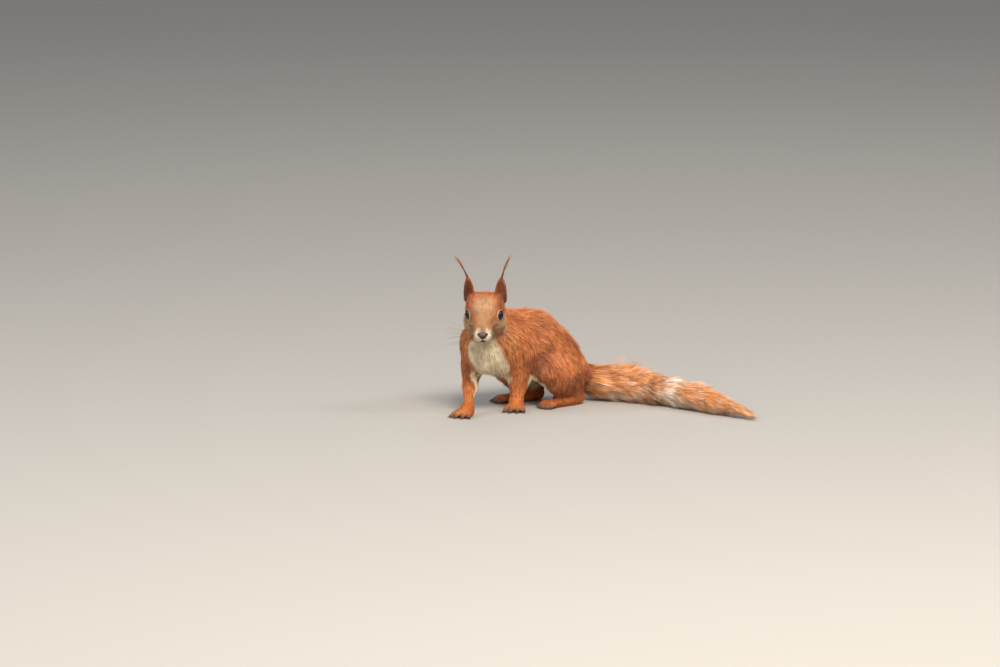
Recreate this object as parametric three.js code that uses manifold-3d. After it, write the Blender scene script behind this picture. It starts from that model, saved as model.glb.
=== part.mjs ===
// A life-size red squirrel standing on its four feet, out to the tips of its coat.
// Millimetres, +Z up. It faces -Y with its left side towards +X, and its head is turned to its left.
// The body is one smooth field of named muscles, which thin cuts part into head, neck, trunk, limbs and tail.
import * as THREE from "three";
import { mergeVertices } from "three/addons/utils/BufferGeometryUtils.js";
import Module from "manifold-3d";

const wasm = await Module();
wasm.setup();

const at = (x, y, z) => new THREE.Vector3(x, y, z);
const degrees = THREE.MathUtils.degToRad;
const UP = at(0, 0, 1);

// Driving dimensions
const GAP = 0.3; // the thin cut between two pieces
const HEAD_TURN = degrees(40); // to its left
const HEAD_NOD = degrees(20); // nose down
const BETWEEN_EYES = at(15.1, -16.1, 94); // midway between the eyeballs: the head's own origin
const EYE_RADIUS = 5;
const EYE_SPACING = 25.4; // between the eyeballs' centres
const EAR = { length: 29, halfWidth: 7.6, halfThickness: 1.25, cup: 4.2 };
const TUFT = { length: 25, radius: 1.1, bend: 5 };
const PAW = {
  fore: { sole: 9.5, toes: [-24, -8, 8, 24], toeLengths: [10.5, 12.5, 12.5, 10.5], spread: 4.8, claw: 4.2 },
  hind: { sole: 28, toes: [-15, -7, 0, 7, 15], toeLengths: [11, 13.5, 14.5, 13.5, 11], spread: 5.2, claw: 4 },
};
const TOE_RADIUS = 1.9;
const CELL = { head: 2.8, trunk: 6.4, limb: 4.2, paw: 1.9, tail: 6 }; // mesh size of each region
const FACET = { head: 0.6, trunk: 1.7, limb: 1.2, paw: 0.6, tail: 1.5 }; // how flat a facet may be
const BLEND = { head: 5, trunk: 9, limb: 6, paw: 2.4, tail: 8 }; // how softly muscles run together

const MATERIALS = {
  coat: new THREE.MeshStandardMaterial({ color: 0xb0623a, roughness: 0.85, metalness: 0 }),
  tail: new THREE.MeshStandardMaterial({ color: 0xc98655, roughness: 0.9, metalness: 0 }),
  paw: new THREE.MeshStandardMaterial({ color: 0xb8703f, roughness: 0.85, metalness: 0 }),
  nose: new THREE.MeshStandardMaterial({ color: 0x4a3832, roughness: 0.5, metalness: 0 }),
  eye: new THREE.MeshStandardMaterial({ color: 0x0c0806, roughness: 0.05, metalness: 0 }),
  claw: new THREE.MeshStandardMaterial({ color: 0x2d2622, roughness: 0.4, metalness: 0 }),
};

// The skeleton: the joints of each limb. A foot stands on the floor and points along heading.
const LIMBS = {
  left: {
    shoulder: at(14, 12, 66),
    elbow: at(12.5, 35.5, 46),
    wrist: at(12.4, 28.6, 12),
    handHeading: at(0.617, -0.787, 0),
    armRadii: [13.5, 10.4, 8.8, 7], // shoulder, elbow, middle of the forearm, wrist
    hip: at(15, 87, 44),
    knee: at(27, 54.3, 36),
    ankle: at(28, 90, 11),
    footHeading: at(-0.02, -1, 0),
  },
  right: {
    shoulder: at(-19, 3, 66),
    elbow: at(-23, 5, 36),
    wrist: at(3, -24.5, 12),
    handHeading: at(0.365, -0.931, 0),
    armRadii: [13.5, 9, 7, 5.2],
    hip: at(-6, 94, 45),
    knee: at(-24, 50, 35),
    ankle: at(-15, 79.5, 11),
    footHeading: at(-0.28, -0.96, 0),
  },
};

// The spine, from the breast to the tail's root, with the trunk's radius round each point
const SPINE = [
  [at(2, -1, 63), 17],
  [at(-2, 14, 62), 24.3],
  [at(-4, 38, 62.5), 27.8],
  [at(-1, 62, 60.5), 27.2],
  [at(3, 80, 50.5), 22.2],
  [at(8, 94, 38), 16.5],
  [at(18, 110, 22), 12.5],
];

// The tail lies along the floor and curls round to its left, with the radius of its hair round each point
const TAIL = [
  [at(18, 110, 22), 12.5],
  [at(30, 122, 16.5), 14.8],
  [at(52.3, 136.5, 15.6), 15.9],
  [at(67.9, 140, 15), 15.2],
  [at(85.5, 142.1, 12.8), 13],
  [at(111, 143.5, 12.3), 12.7],
  [at(136.5, 143.5, 12.3), 12.7],
  [at(163.3, 142.1, 10.4), 10.9],
  [at(190.6, 141.1, 6), 6.5],
  [at(210.7, 140, 2.6), 2.4],
];

const headGroup = new THREE.Group();
headGroup.position.copy(BETWEEN_EYES);
headGroup.rotation.set(HEAD_NOD, 0, HEAD_TURN, "ZXY");
headGroup.updateMatrixWorld(true);
const inHead = (left, forward, up) => at(left, -forward, up).applyMatrix4(headGroup.matrixWorld);

// The smooth field: negative inside the coat. Each muscle is a round cone from one point to another.
function cone(from, to, fromRadius, toRadius) {
  const along = to.clone().sub(from);
  const square = Math.max(along.lengthSq(), 1e-9);
  const offset = new THREE.Vector3();
  return (point) => {
    offset.subVectors(point, from);
    const share = THREE.MathUtils.clamp(offset.dot(along) / square, 0, 1);
    return offset.addScaledVector(along, -share).length() - THREE.MathUtils.lerp(fromRadius, toRadius, share);
  };
}

// An ellipsoid that lies along the head's own axes, by its half sizes across, forward and up.
function headBall(centre, halfSizes) {
  const toHead = headGroup.matrixWorld.clone().invert();
  const middle = at(centre[0], -centre[1], centre[2]);
  const local = new THREE.Vector3();
  const scaled = new THREE.Vector3();
  return (point) => {
    local.copy(point).applyMatrix4(toHead).sub(middle);
    scaled.set(local.x / halfSizes[0], local.y / halfSizes[1], local.z / halfSizes[2]);
    const reach = scaled.length();
    scaled.set(local.x / halfSizes[0] ** 2, local.y / halfSizes[1] ** 2, local.z / halfSizes[2] ** 2);
    return reach < 1e-6 ? -Math.min(...halfSizes) : (reach * (reach - 1)) / scaled.length();
  };
}

function blended(fields, softness) {
  return (point) =>
    fields.reduce((nearest, field) => {
      const value = field(point);
      const mix = Math.max(softness - Math.abs(nearest - value), 0) / softness;
      return Math.min(nearest, value) - (mix * mix * softness) / 4;
    }, Infinity);
}

const chain = (points) =>
  points.slice(1).map(([to, toRadius], i) => cone(points[i][0], to, points[i][1], toRadius));

function headField() {
  const both = (make) => [make(1), make(-1)];
  return blended(
    [
      headBall([0, -11.5, -0.5], [18, 15.5, 16.3]), // cranium
      headBall([0, 1, 0.5], [13.2, 15, 13.2]), // forehead
      cone(inHead(0, 6, -4), inHead(0, 18.3, -9.8), 11, 5.8), // snout
      headBall([0, 20.5, -9.8], [5, 4.6, 4.6]), // nose bridge
      ...both((side) => headBall([side * 8.6, -2, -10], [9.6, 11, 8.2])), // cheek
      ...both((side) => headBall([side * 9.6, -3, 8], [6.6, 8, 4.6])), // brow
      ...both((side) => headBall([side * 3.9, 17.6, -12.6], [4.6, 5.6, 4.4])), // whisker pad
      ...both((side) => headBall([side * 10.5, -12, 11], [6, 6, 6])), // ear root
      cone(inHead(0, -8, -11), inHead(0, 12.5, -15), 9, 4.6), // lower jaw
      headBall([0, 15, -17.2], [3.2, 4, 3]), // chin
    ],
    BLEND.head,
  );
}

function forelegField(limb) {
  const joints = [limb.shoulder, limb.elbow, limb.elbow.clone().lerp(limb.wrist, 0.5), limb.wrist];
  return blended(chain(joints.map((joint, i) => [joint, limb.armRadii[i]])), BLEND.limb);
}

function hindlegField(limb) {
  const calf = limb.knee.clone().lerp(limb.ankle, 0.5).add(at(0, 2, 2));
  const seat = limb.hip.clone().add(at(0, 3, -8));
  const overHeel = limb.ankle.clone().add(at(0, -2, 8));
  const overFoot = limb.ankle.clone().addScaledVector(limb.footHeading, 16).add(at(0, 0, 2));
  return blended(
    [
      cone(limb.hip, limb.knee, 16.5, 12.5), // thigh
      cone(seat, overHeel, 13.5, 10), // back of the thigh, which hangs over the heel
      cone(limb.knee, overFoot, 12, 10.5), // front of the shank, over the middle of the foot
      ...chain([
        [limb.knee, 12],
        [calf, 12],
        [limb.ankle, 8.5],
      ]),
    ],
    BLEND.limb,
  );
}

const trunkField = blended(
  [
    ...chain(SPINE),
    cone(inHead(0, -14, -3), at(-3, 20, 72), 15.5, 18), // nape
    cone(inHead(0, -4, -12), at(2, 2, 60), 11, 16), // throat
    cone(at(2, 2, 49), at(-2, 28, 50), 14.5, 18), // breastbone
    cone(at(-2, 36, 50), at(4, 76, 44), 21, 19), // belly
  ],
  BLEND.trunk,
);

const body = blended(
  [
    blended([trunkField, headField()], BLEND.head),
    ...Object.values(LIMBS).flatMap((limb) => [forelegField(limb), hindlegField(limb)]),
    blended(chain(TAIL), BLEND.tail),
  ],
  BLEND.limb,
);

// The closed surface where a field is zero inside a box: one vertex in each cell that it crosses, and one
// quad about each grid edge that it crosses.
function surfaceOf(fieldAt, box, cell) {
  const counts = box.getSize(new THREE.Vector3()).divideScalar(cell).ceil().addScalar(3).toArray();
  const strides = [1, counts[0], counts[0] * counts[1]];
  const stepsTo = (index) => strides.map((stride, axis) => Math.floor(index / stride) % counts[axis]);
  const pointOf = (steps) => at(...steps).subScalar(1).multiplyScalar(cell).add(box.min);
  const values = new Float64Array(counts[0] * counts[1] * counts[2]).map((_, index) => {
    const steps = stepsTo(index);
    const onRim = steps.some((step, axis) => step === 0 || step === counts[axis] - 1);
    return onRim ? cell : fieldAt(pointOf(steps));
  });

  const corners = [0, 1, 2, 3, 4, 5, 6, 7].map((bits) => [bits & 1, (bits >> 1) & 1, (bits >> 2) & 1]);
  const edges = corners.flatMap((from, a) =>
    corners.flatMap((to, b) => (a < b && at(...from).distanceTo(at(...to)) === 1 ? [[a, b]] : [])),
  );
  const vertexOf = new Map();
  const spots = [];
  values.forEach((_, index) => {
    const steps = stepsTo(index);
    if (steps.some((step, axis) => step === counts[axis] - 1)) return;
    const ends = corners.map((corner) => index + corner.reduce((sum, c, axis) => sum + c * strides[axis], 0));
    const crossings = edges
      .filter(([a, b]) => values[ends[a]] < 0 !== values[ends[b]] < 0)
      .map(([a, b]) => {
        const share = values[ends[a]] / (values[ends[a]] - values[ends[b]]);
        return pointOf(stepsTo(ends[a])).lerp(pointOf(stepsTo(ends[b])), share);
      });
    if (!crossings.length) return;
    vertexOf.set(index, spots.length);
    spots.push(crossings.reduce((sum, spot) => sum.add(spot), at(0, 0, 0)).divideScalar(crossings.length));
  });

  const triangles = [];
  values.forEach((value, index) => {
    const steps = stepsTo(index);
    strides.forEach((stride, axis) => {
      const across = [(axis + 1) % 3, (axis + 2) % 3];
      if (steps[axis] === counts[axis] - 1 || across.some((side) => steps[side] === 0)) return;
      if (value < 0 === values[index + stride] < 0) return;
      const [u, v] = across.map((side) => strides[side]);
      const quad = [index - u - v, index - v, index, index - u].map((corner) => vertexOf.get(corner));
      if (value >= 0) quad.reverse();
      const [a, b, c, d] = quad;
      const cutsAC = spots[a].distanceTo(spots[c]) < spots[b].distanceTo(spots[d]);
      triangles.push(...(cutsAC ? [a, b, c, a, c, d] : [a, b, d, b, c, d]));
    });
  });
  return new THREE.BufferGeometry().setFromPoints(spots).setIndex(triangles);
}

// Solids for cutting and joining
function solidOf(geometry) {
  const bare = geometry.clone();
  bare.deleteAttribute("normal");
  bare.deleteAttribute("uv");
  const merged = mergeVertices(bare, 1e-4);
  return new wasm.Manifold(
    new wasm.Mesh({
      numProp: 3,
      vertProperties: new Float32Array(merged.attributes.position.array),
      triVerts: new Uint32Array(merged.index.array),
    }),
  );
}

const underFloor = solidOf(new THREE.BoxGeometry(700, 700, 100).translate(0, 0, -50));
const larger = (a, b) => (b.volume() > a.volume() ? b : a);
const largest = (solid) => solid.decompose().reduce(larger);

// Cutters. Each is made as it is, and grown by the gap to be taken off its neighbours.
function alongAxis(geometry, centre, direction) {
  const way = direction.clone().normalize();
  const aside = Math.abs(way.z) > 0.99 ? at(1, 0, 0) : way.clone().cross(UP).normalize();
  const turn = new THREE.Matrix4().makeBasis(aside, way, aside.clone().cross(way));
  return geometry.applyMatrix4(turn).translate(...centre.toArray());
}

// All that lies past a plane
function beyond(point, direction, size = 260) {
  return (grow) => {
    const way = direction.clone().normalize();
    const centre = point.clone().addScaledVector(way, size / 2 - grow);
    return alongAxis(new THREE.BoxGeometry(size, size, size), centre, way);
  };
}

// A round sleeve about a bone, with flat ends
function sleeve(from, to, radius) {
  return (grow) => {
    const way = to.clone().sub(from);
    const size = radius + grow;
    const tube = new THREE.CylinderGeometry(size, size, way.length() + 2 * grow, 8);
    return alongAxis(tube, from.clone().lerp(to, 0.5), way);
  };
}

// A ball drawn out along a bone and past its ends, and flattened from side to side
function muscle(from, to, radius, past, halfWidth = radius) {
  return (grow) => {
    const way = to.clone().sub(from);
    const ball = new THREE.SphereGeometry(1, 10, 6);
    ball.scale(halfWidth + grow, way.length() / 2 + past + grow, radius + grow);
    return alongAxis(ball, from.clone().lerp(to, 0.5), way);
  };
}

const squirrel = new THREE.Group();
squirrel.name = "red_squirrel";
squirrel.add(headGroup);

// A solid in the squirrel's own frame becomes a named mesh of a group, about a pivot.
function place(name, solid, material, pivot, group = squirrel) {
  const mesh = largest(solid.simplify(GAP / 5)).getMesh();
  const geometry = new THREE.BufferGeometry()
    .setAttribute("position", new THREE.BufferAttribute(mesh.vertProperties, 3))
    .setIndex(new THREE.BufferAttribute(mesh.triVerts, 1))
    .applyMatrix4(group.matrixWorld.clone().invert());
  const local = pivot.clone().applyMatrix4(group.matrixWorld.clone().invert());
  const made = new THREE.Mesh(geometry.translate(-local.x, -local.y, -local.z), material);
  geometry.computeVertexNormals();
  made.name = name;
  made.position.copy(local);
  group.add(made);
}

// The flesh of one node: the body inside all of its own cutters and outside its neighbours'
function flesh(inside, outside, region) {
  const kept = inside.map((cutter) => solidOf(cutter(0))).reduce((a, b) => a.intersect(b));
  const { min, max } = kept.boundingBox();
  const box = new THREE.Box3(at(...min), at(...max)).intersect(BODY_BOX).expandByScalar(CELL[region]);
  const whole = solidOf(surfaceOf(body, box, CELL[region])).simplify(FACET[region]);
  const part = whole.intersect(kept).subtract(underFloor);
  return outside.reduce((rest, cutter) => rest.subtract(solidOf(cutter(GAP))), part);
}

const BODY_BOX = new THREE.Box3(at(-60, -60, -3), at(220, 170, 125));

// Where the trunk is parted: each cut is a point and the way to the part in front of it
const headWay = inHead(0, -6, -2).sub(at(-3, 20, 70));
const tailWay = TAIL[1][0].clone().sub(TAIL[0][0]);
const cuts = {
  head: beyond(inHead(0, -15, -9), headWay),
  neck: beyond(at(0, 8, 76), headWay),
  chest: beyond(at(-3, 46, 60), at(0, -1, 0.1)),
  belly: beyond(at(3, 76, 56), at(-0.2, -1, 0.35)),
  tail: beyond(TAIL[0][0].clone().addScaledVector(tailWay, 0.2), tailWay),
};

const limbCuts = Object.fromEntries(
  Object.entries(LIMBS).map(([side, limb]) => {
    const outer = (joint) => joint.clone().setX(joint.x + Math.sign(limb.knee.x) * 6);
    const alongForearm = (share) => limb.elbow.clone().lerp(limb.wrist, share);
    const cut = {
      upperarm: muscle(outer(limb.shoulder), outer(limb.elbow), 15.5, 10, 15),
      forearm: sleeve(alongForearm(0.12), alongForearm(1.4), 11),
      wrist: beyond(limb.wrist, UP),
      thigh: muscle(outer(limb.hip), outer(limb.knee), 21, 15, 16),
      shank: sleeve(limb.knee, limb.knee.clone().lerp(limb.ankle, 1.3), 15.5),
      ankle: beyond(limb.ankle, UP),
    };
    return [side, cut];
  }),
);
const armCuts = Object.values(limbCuts).flatMap((cut) => [cut.upperarm, cut.forearm]);
const legCuts = Object.values(limbCuts).flatMap((cut) => [cut.thigh, cut.shank]);

// Head, with a socket for each eye and a seat for the nose pad
const eyeCentres = { left: inHead(EYE_SPACING / 2, 0, 0), right: inHead(-EYE_SPACING / 2, 0, 0) };
const eyeball = (radius, centre) => new THREE.SphereGeometry(radius, 10, 7).translate(...centre.toArray());
const nosePad = (grow) =>
  new THREE.SphereGeometry(1, 10, 6)
    .scale(4.3 + grow, 2.8 + grow, 3 + grow)
    .translate(0.4, -23.8, -8.8)
    .applyMatrix4(headGroup.matrixWorld);

const wholeHead = flesh([cuts.head], armCuts, "head");
place("nose", solidOf(nosePad(0)), MATERIALS.nose, inHead(0, 24, -9), headGroup);

function earFrame(sign) {
  const frame = new THREE.Group();
  frame.position.set(sign * 13.8, 11, 3);
  frame.rotation.set(degrees(-7), sign * degrees(6), sign * degrees(38), "YXZ");
  frame.updateMatrix();
  return frame.matrix.premultiply(headGroup.matrixWorld);
}

// An ear is a leaf with a pointed tip, cupped about its own height, with its hollow to the front.
function earGeometry(sign, grow) {
  const geometry = new THREE.SphereGeometry(1, 12, 8).rotateX(Math.PI / 2);
  const spots = geometry.attributes.position;
  for (let i = 0; i < spots.count; i++) {
    const height = (spots.getZ(i) + 1) / 2;
    const round = Math.sqrt(Math.max(1 - spots.getZ(i) ** 2, 1e-9));
    const leaf = Math.min(1, 2 * height + 0.75) * Math.max(1 - height ** 2.4, 0) ** 0.75;
    const across = round > 0.05 ? (spots.getX(i) / round) * leaf * (EAR.halfWidth + grow) : 0;
    const up = height * (EAR.length + 2 * grow) - grow;
    const cupped = EAR.cup * (1 - (across / EAR.halfWidth) ** 2) * (1 - (0.6 * up) / EAR.length);
    spots.setXYZ(i, across, spots.getY(i) * (EAR.halfThickness + grow) + cupped, up);
  }
  return geometry.applyMatrix4(earFrame(sign));
}

// An ear tuft is a thin horn of hair that leans out from the ear's tip.
function tuftGeometry(sign, grow) {
  const size = TUFT.radius + grow;
  const geometry = new THREE.ConeGeometry(size, TUFT.length + 2 * grow, 5, 4).rotateX(Math.PI / 2);
  const spots = geometry.attributes.position;
  for (let i = 0; i < spots.count; i++) {
    const height = spots.getZ(i) / (TUFT.length + 2 * grow) + 0.5;
    const fullness = 1 + 1.5 * height * (1 - height);
    const across = spots.getX(i) * fullness + sign * TUFT.bend * height ** 2;
    spots.setXYZ(i, across, spots.getY(i) * fullness + 1.5 * height, spots.getZ(i) + TUFT.length / 2);
  }
  const earTip = at(0, 0.4 * EAR.cup, EAR.length - 1.6).applyMatrix4(earFrame(sign));
  return geometry
    .rotateY(sign * degrees(sign < 0 ? 19 : 12))
    .rotateX(degrees(-6))
    .applyQuaternion(headGroup.quaternion)
    .translate(...earTip.toArray());
}

let head = wholeHead.subtract(solidOf(nosePad(GAP)));
for (const [side, sign] of [["left", 1], ["right", -1]]) {
  const centre = eyeCentres[side];
  place(`eye_${side}`, solidOf(eyeball(EYE_RADIUS, centre)), MATERIALS.eye, centre, headGroup);
  const tuft = solidOf(tuftGeometry(sign, 0));
  place(`ear_tuft_${side}`, tuft, MATERIALS.coat, inHead(sign * 16.5, -14, 32), headGroup);
  const ear = solidOf(earGeometry(sign, 0)).subtract(solidOf(tuftGeometry(sign, GAP)));
  place(`ear_${side}`, ear, MATERIALS.coat, inHead(sign * 14, -12, 8), headGroup);
  head = head.subtract(solidOf(eyeball(EYE_RADIUS + GAP, centre)));
  head = head.subtract(solidOf(earGeometry(sign, 2 * GAP)));
}
place("head", head, MATERIALS.coat, inHead(0, -8, 0), headGroup);

// Neck and trunk
const trunkParts = {
  neck: [[cuts.neck], [cuts.head, ...armCuts], at(2, 6, 84)],
  chest: [[cuts.chest], [cuts.neck, ...armCuts, ...legCuts], SPINE[1][0]],
  belly: [[cuts.belly], [cuts.chest, cuts.neck, ...armCuts, ...legCuts], SPINE[3][0]],
  rump: [[beyond(at(3, 77, 56), at(0.2, 1, -0.35))], [cuts.belly, cuts.tail, ...legCuts], SPINE[5][0]],
};
for (const [name, [inside, outside, pivot]] of Object.entries(trunkParts)) {
  place(name, flesh(inside, outside, "trunk"), MATERIALS.coat, pivot);
}

// A paw stands on its sole. Its toes fan out, arch, and come down to claws just clear of the floor.
function pawOf(limb, kind, level) {
  const isFore = kind === "fore";
  const heading = (isFore ? limb.handHeading : limb.footHeading).clone().normalize();
  const left = UP.clone().cross(heading);
  const heel = (isFore ? limb.wrist : limb.ankle).clone().setZ(0);
  const spot = (forward, aside, height) =>
    heel.clone().addScaledVector(heading, forward).addScaledVector(left, aside).setZ(height);
  const { sole, toes, toeLengths, spread, claw } = PAW[kind];
  const middle = (toes.length - 1) / 2;
  const digits = toes.map((fan, i) => {
    const angle = degrees(fan);
    const aside = -((i - middle) / middle) * spread;
    const along = (share, height) => {
      const reach = share * toeLengths[i];
      return spot(sole + reach * Math.cos(angle), aside - reach * Math.sin(angle), height);
    };
    const way = along(2, 0).sub(along(1, 0)).normalize();
    return { base: along(-0.1, 4.2), knuckle: along(0.45, 4.6), tip: along(1, 1.7), way };
  });
  const palm = cone(spot(0, 0, 7), spot(8, 0, 4.6), 5.4, 4.8);
  const heelPad = isFore ? palm : cone(spot(-2, 0, 7), spot(9, 0, 6), 7.5, 5.8);
  const pads = [-1, 1].map((side) =>
    cone(spot(sole * 0.3, side * 2.2, 4.4), spot(sole, side * 3.4, 3.5), isFore ? 3.6 : 4.8, 3.6),
  );
  const top = isFore ? limb.elbow : limb.knee;
  const joint = isFore ? limb.wrist : limb.ankle;
  const stumpRadius = isFore ? limb.armRadii[3] : 8.8;
  const stump = cone(joint, joint.clone().lerp(top, 0.2), stumpRadius, stumpRadius + 0.5);
  const toeFields = digits.flatMap(({ base, knuckle, tip }) => [
    cone(base, knuckle, TOE_RADIUS + 0.3, TOE_RADIUS + 0.1),
    cone(knuckle, tip, TOE_RADIUS + 0.1, TOE_RADIUS),
  ]);
  const shape = blended([blended([stump, heelPad, ...pads], 5), ...toeFields], BLEND.paw);
  const reached = [joint, spot(-8, 0, 0), ...digits.map(({ tip }) => tip)];
  const box = new THREE.Box3().setFromPoints(reached).expandByScalar(11);
  return {
    solid: solidOf(surfaceOf(shape, box, CELL.paw))
      .simplify(FACET.paw)
      .subtract(underFloor)
      .subtract(solidOf(level(GAP))),
    pivot: joint,
    claws: digits.map(({ tip, way }) => clawAt(tip, way, claw)),
  };
}

// A claw leaves the tip of its toe, and hooks down towards the floor.
function clawAt(tip, way, length) {
  const geometry = new THREE.ConeGeometry(0.95, length, 5, 2).translate(0, length / 2, 0);
  const spots = geometry.attributes.position;
  for (let i = 0; i < spots.count; i++) {
    const share = spots.getY(i) / length;
    spots.setZ(i, spots.getZ(i) + 0.7 - 2 * share ** 2);
  }
  const turn = new THREE.Matrix4().makeBasis(way.clone().cross(UP), way, UP);
  const start = tip.clone().addScaledVector(way, TOE_RADIUS + GAP);
  return geometry.applyMatrix4(turn).translate(...start.toArray());
}

// Limbs
for (const [side, limb] of Object.entries(LIMBS)) {
  const cut = limbCuts[side];
  const chain = {
    upperarm: [[cut.upperarm], [cut.forearm], limb.shoulder],
    forearm: [[cut.forearm, cut.wrist], [], limb.elbow],
    thigh: [[cut.thigh], armCuts, limb.hip],
    shank: [[cut.shank, cut.ankle], [cut.thigh, cuts.tail, ...armCuts], limb.knee],
  };
  for (const [name, [inside, outside, pivot]] of Object.entries(chain)) {
    place(`${name}_${side}`, flesh(inside, outside, "limb"), MATERIALS.coat, pivot);
  }
  for (const [kind, name] of [["fore", "forepaw"], ["hind", "hindpaw"]]) {
    const paw = pawOf(limb, kind, kind === "fore" ? cut.wrist : cut.ankle);
    place(`${name}_${side}`, paw.solid, MATERIALS.paw, paw.pivot);
    paw.claws.forEach((claw, i) => {
      place(`claw_${kind}_${side}_${i + 1}`, solidOf(claw), MATERIALS.claw, paw.pivot);
    });
  }
}

// Tail, in four lengths
const tailCuts = [0, 2, 4, 6].map((i) => {
  const way = TAIL[i + 1][0].clone().sub(TAIL[i][0]);
  return i === 0 ? cuts.tail : beyond(TAIL[i][0], way);
});
tailCuts.forEach((cut, i) => {
  const next = tailCuts.slice(i + 1, i + 2);
  const solid = flesh([cut], [...next, ...legCuts], "tail");
  place(`tail_${i + 1}`, solid, MATERIALS.tail, TAIL[2 * i][0]);
});

// The whole stands about its own middle.
const middle = new THREE.Box3().setFromObject(squirrel, true).getCenter(at(0, 0, 0));
squirrel.children.forEach((child) => child.position.sub(at(middle.x, middle.y, 0)));

export default squirrel;
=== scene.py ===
# A life-size red squirrel: one skin, a coat of solid tufts over it, eyes, nose, claws and whiskers.
import math

import bmesh
import bpy
import numpy as np
from mathutils import Matrix, Vector
from mathutils.bvhtree import BVHTree
from mathutils.kdtree import KDTree


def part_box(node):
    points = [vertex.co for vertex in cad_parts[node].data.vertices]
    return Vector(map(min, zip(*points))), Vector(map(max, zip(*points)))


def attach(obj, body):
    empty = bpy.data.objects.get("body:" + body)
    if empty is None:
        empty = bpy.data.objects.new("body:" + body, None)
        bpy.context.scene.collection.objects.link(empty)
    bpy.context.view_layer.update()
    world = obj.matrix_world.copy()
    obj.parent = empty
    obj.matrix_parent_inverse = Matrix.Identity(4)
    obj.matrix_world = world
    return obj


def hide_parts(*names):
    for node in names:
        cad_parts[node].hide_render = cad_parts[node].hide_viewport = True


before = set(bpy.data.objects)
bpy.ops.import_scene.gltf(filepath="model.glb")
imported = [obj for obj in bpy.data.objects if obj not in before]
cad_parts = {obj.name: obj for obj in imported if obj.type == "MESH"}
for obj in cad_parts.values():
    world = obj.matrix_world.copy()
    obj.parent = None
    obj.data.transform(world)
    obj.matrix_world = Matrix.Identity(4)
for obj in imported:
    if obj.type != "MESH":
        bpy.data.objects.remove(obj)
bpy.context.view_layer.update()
chance = np.random.default_rng(2024)
mm = 0.001  # every array below is in millimetres, and every mesh in metres
bakeMap = "OFBake"
sides = {"left": 1, "right": -1}


# Arrays and meshes

def pointsOf(mesh):
    places = np.empty(len(mesh.vertices) * 3, np.float32)
    mesh.vertices.foreach_get("co", places)
    return places.reshape(-1, 3).astype(float) / mm


def setPoints(mesh, places):
    mesh.vertices.foreach_set("co", (places * mm).astype(np.float32).ravel())
    mesh.update()


def normalsOf(mesh):
    ways = np.empty(len(mesh.vertices) * 3, np.float32)
    mesh.vertex_normals.foreach_get("vector", ways)
    return ways.reshape(-1, 3).astype(float)


def edgesOf(mesh):
    pairs = np.empty(len(mesh.edges) * 2, np.int32)
    mesh.edges.foreach_get("vertices", pairs)
    return pairs.reshape(-1, 2)


def unit(ways):
    return ways / np.maximum(np.linalg.norm(ways, axis=-1, keepdims=True), 1e-9)


def eased(low, high, value):
    share = np.clip((value - low) / (high - low), 0, 1)
    return share * share * (3 - 2 * share)


def between(a, b, share):
    return a + (b - a) * share


def relaxed(values, edges, rounds, share=0.5):
    # each round moves every value towards the mean of its neighbours
    flat = values.reshape(len(values), -1).copy()
    first, second = edges.T
    count = np.maximum(np.bincount(edges.ravel(), minlength=len(values)), 1)
    for _ in range(rounds):
        for column in flat.T:
            total = np.bincount(first, column[second], len(values))
            total += np.bincount(second, column[first], len(values))
            column += (total / count - column) * share
    return flat.reshape(values.shape)


def nearestOnLine(points, start, end):
    # the distance to a straight stroke, and the share of it that has been passed
    along = end - start
    share = np.clip((points - start) @ along / max(along @ along, 1e-9), 0, 1)
    return np.linalg.norm(points - start - share[:, None] * along, axis=1), share


def runsOf(line):
    # each point of a line with the one after it
    return list(zip(line[:-1], line[1:]))


def ripple(points, size, seed):
    # a smooth wandering value from -1 to 1, with swells about as wide as size
    draw = np.random.default_rng(seed)
    ways = unit(draw.normal(size=(9, 3))) * (2 * math.pi / size) * draw.uniform(0.6, 1.5, (9, 1))
    return np.sin(points @ ways.T + draw.uniform(0, 6.3, 9)).sum(1) / 4


def treeOf(mesh):
    corners = [vert.co for vert in mesh.vertices]
    return BVHTree.FromPolygons(corners, [face.vertices for face in mesh.polygons])


def formFrom(mesh):
    form = bmesh.new()
    form.from_mesh(mesh)
    return form


def meshFrom(form, name):
    mesh = bpy.data.meshes.new(name)
    form.to_mesh(mesh)
    form.free()
    return mesh


def refill(mesh, form):
    form.to_mesh(mesh)
    form.free()
    mesh.update()


def linked(name, data):
    made = bpy.data.objects.new(name, data)
    bpy.context.scene.collection.objects.link(made)
    return made


def applied(holder):
    # the mesh as the holder's modifiers leave it, in place of the one it had
    before = holder.data
    graph = bpy.context.evaluated_depsgraph_get()
    made = bpy.data.meshes.new_from_object(holder.evaluated_get(graph))
    bpy.data.objects.remove(holder)
    bpy.data.meshes.remove(before)
    return made


def addPiece(name, mesh, replaced=()):
    piece = linked(name, mesh)
    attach(piece, "root")
    if replaced:
        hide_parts(*replaced)
    return piece


def shadeSmooth(mesh):
    mesh.polygons.foreach_set("use_smooth", [True] * len(mesh.polygons))


def addValues(mesh, values):
    for name, value in values.items():
        mesh.attributes.new(name, "FLOAT", "POINT").data.foreach_set("value", value.astype(np.float32))


# Landmarks, from the solids

def centreOf(name):
    low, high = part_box(name)
    return np.array((low + high) / 2) / mm


def meanOf(name):
    return pointsOf(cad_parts[name].data).mean(0)


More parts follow.
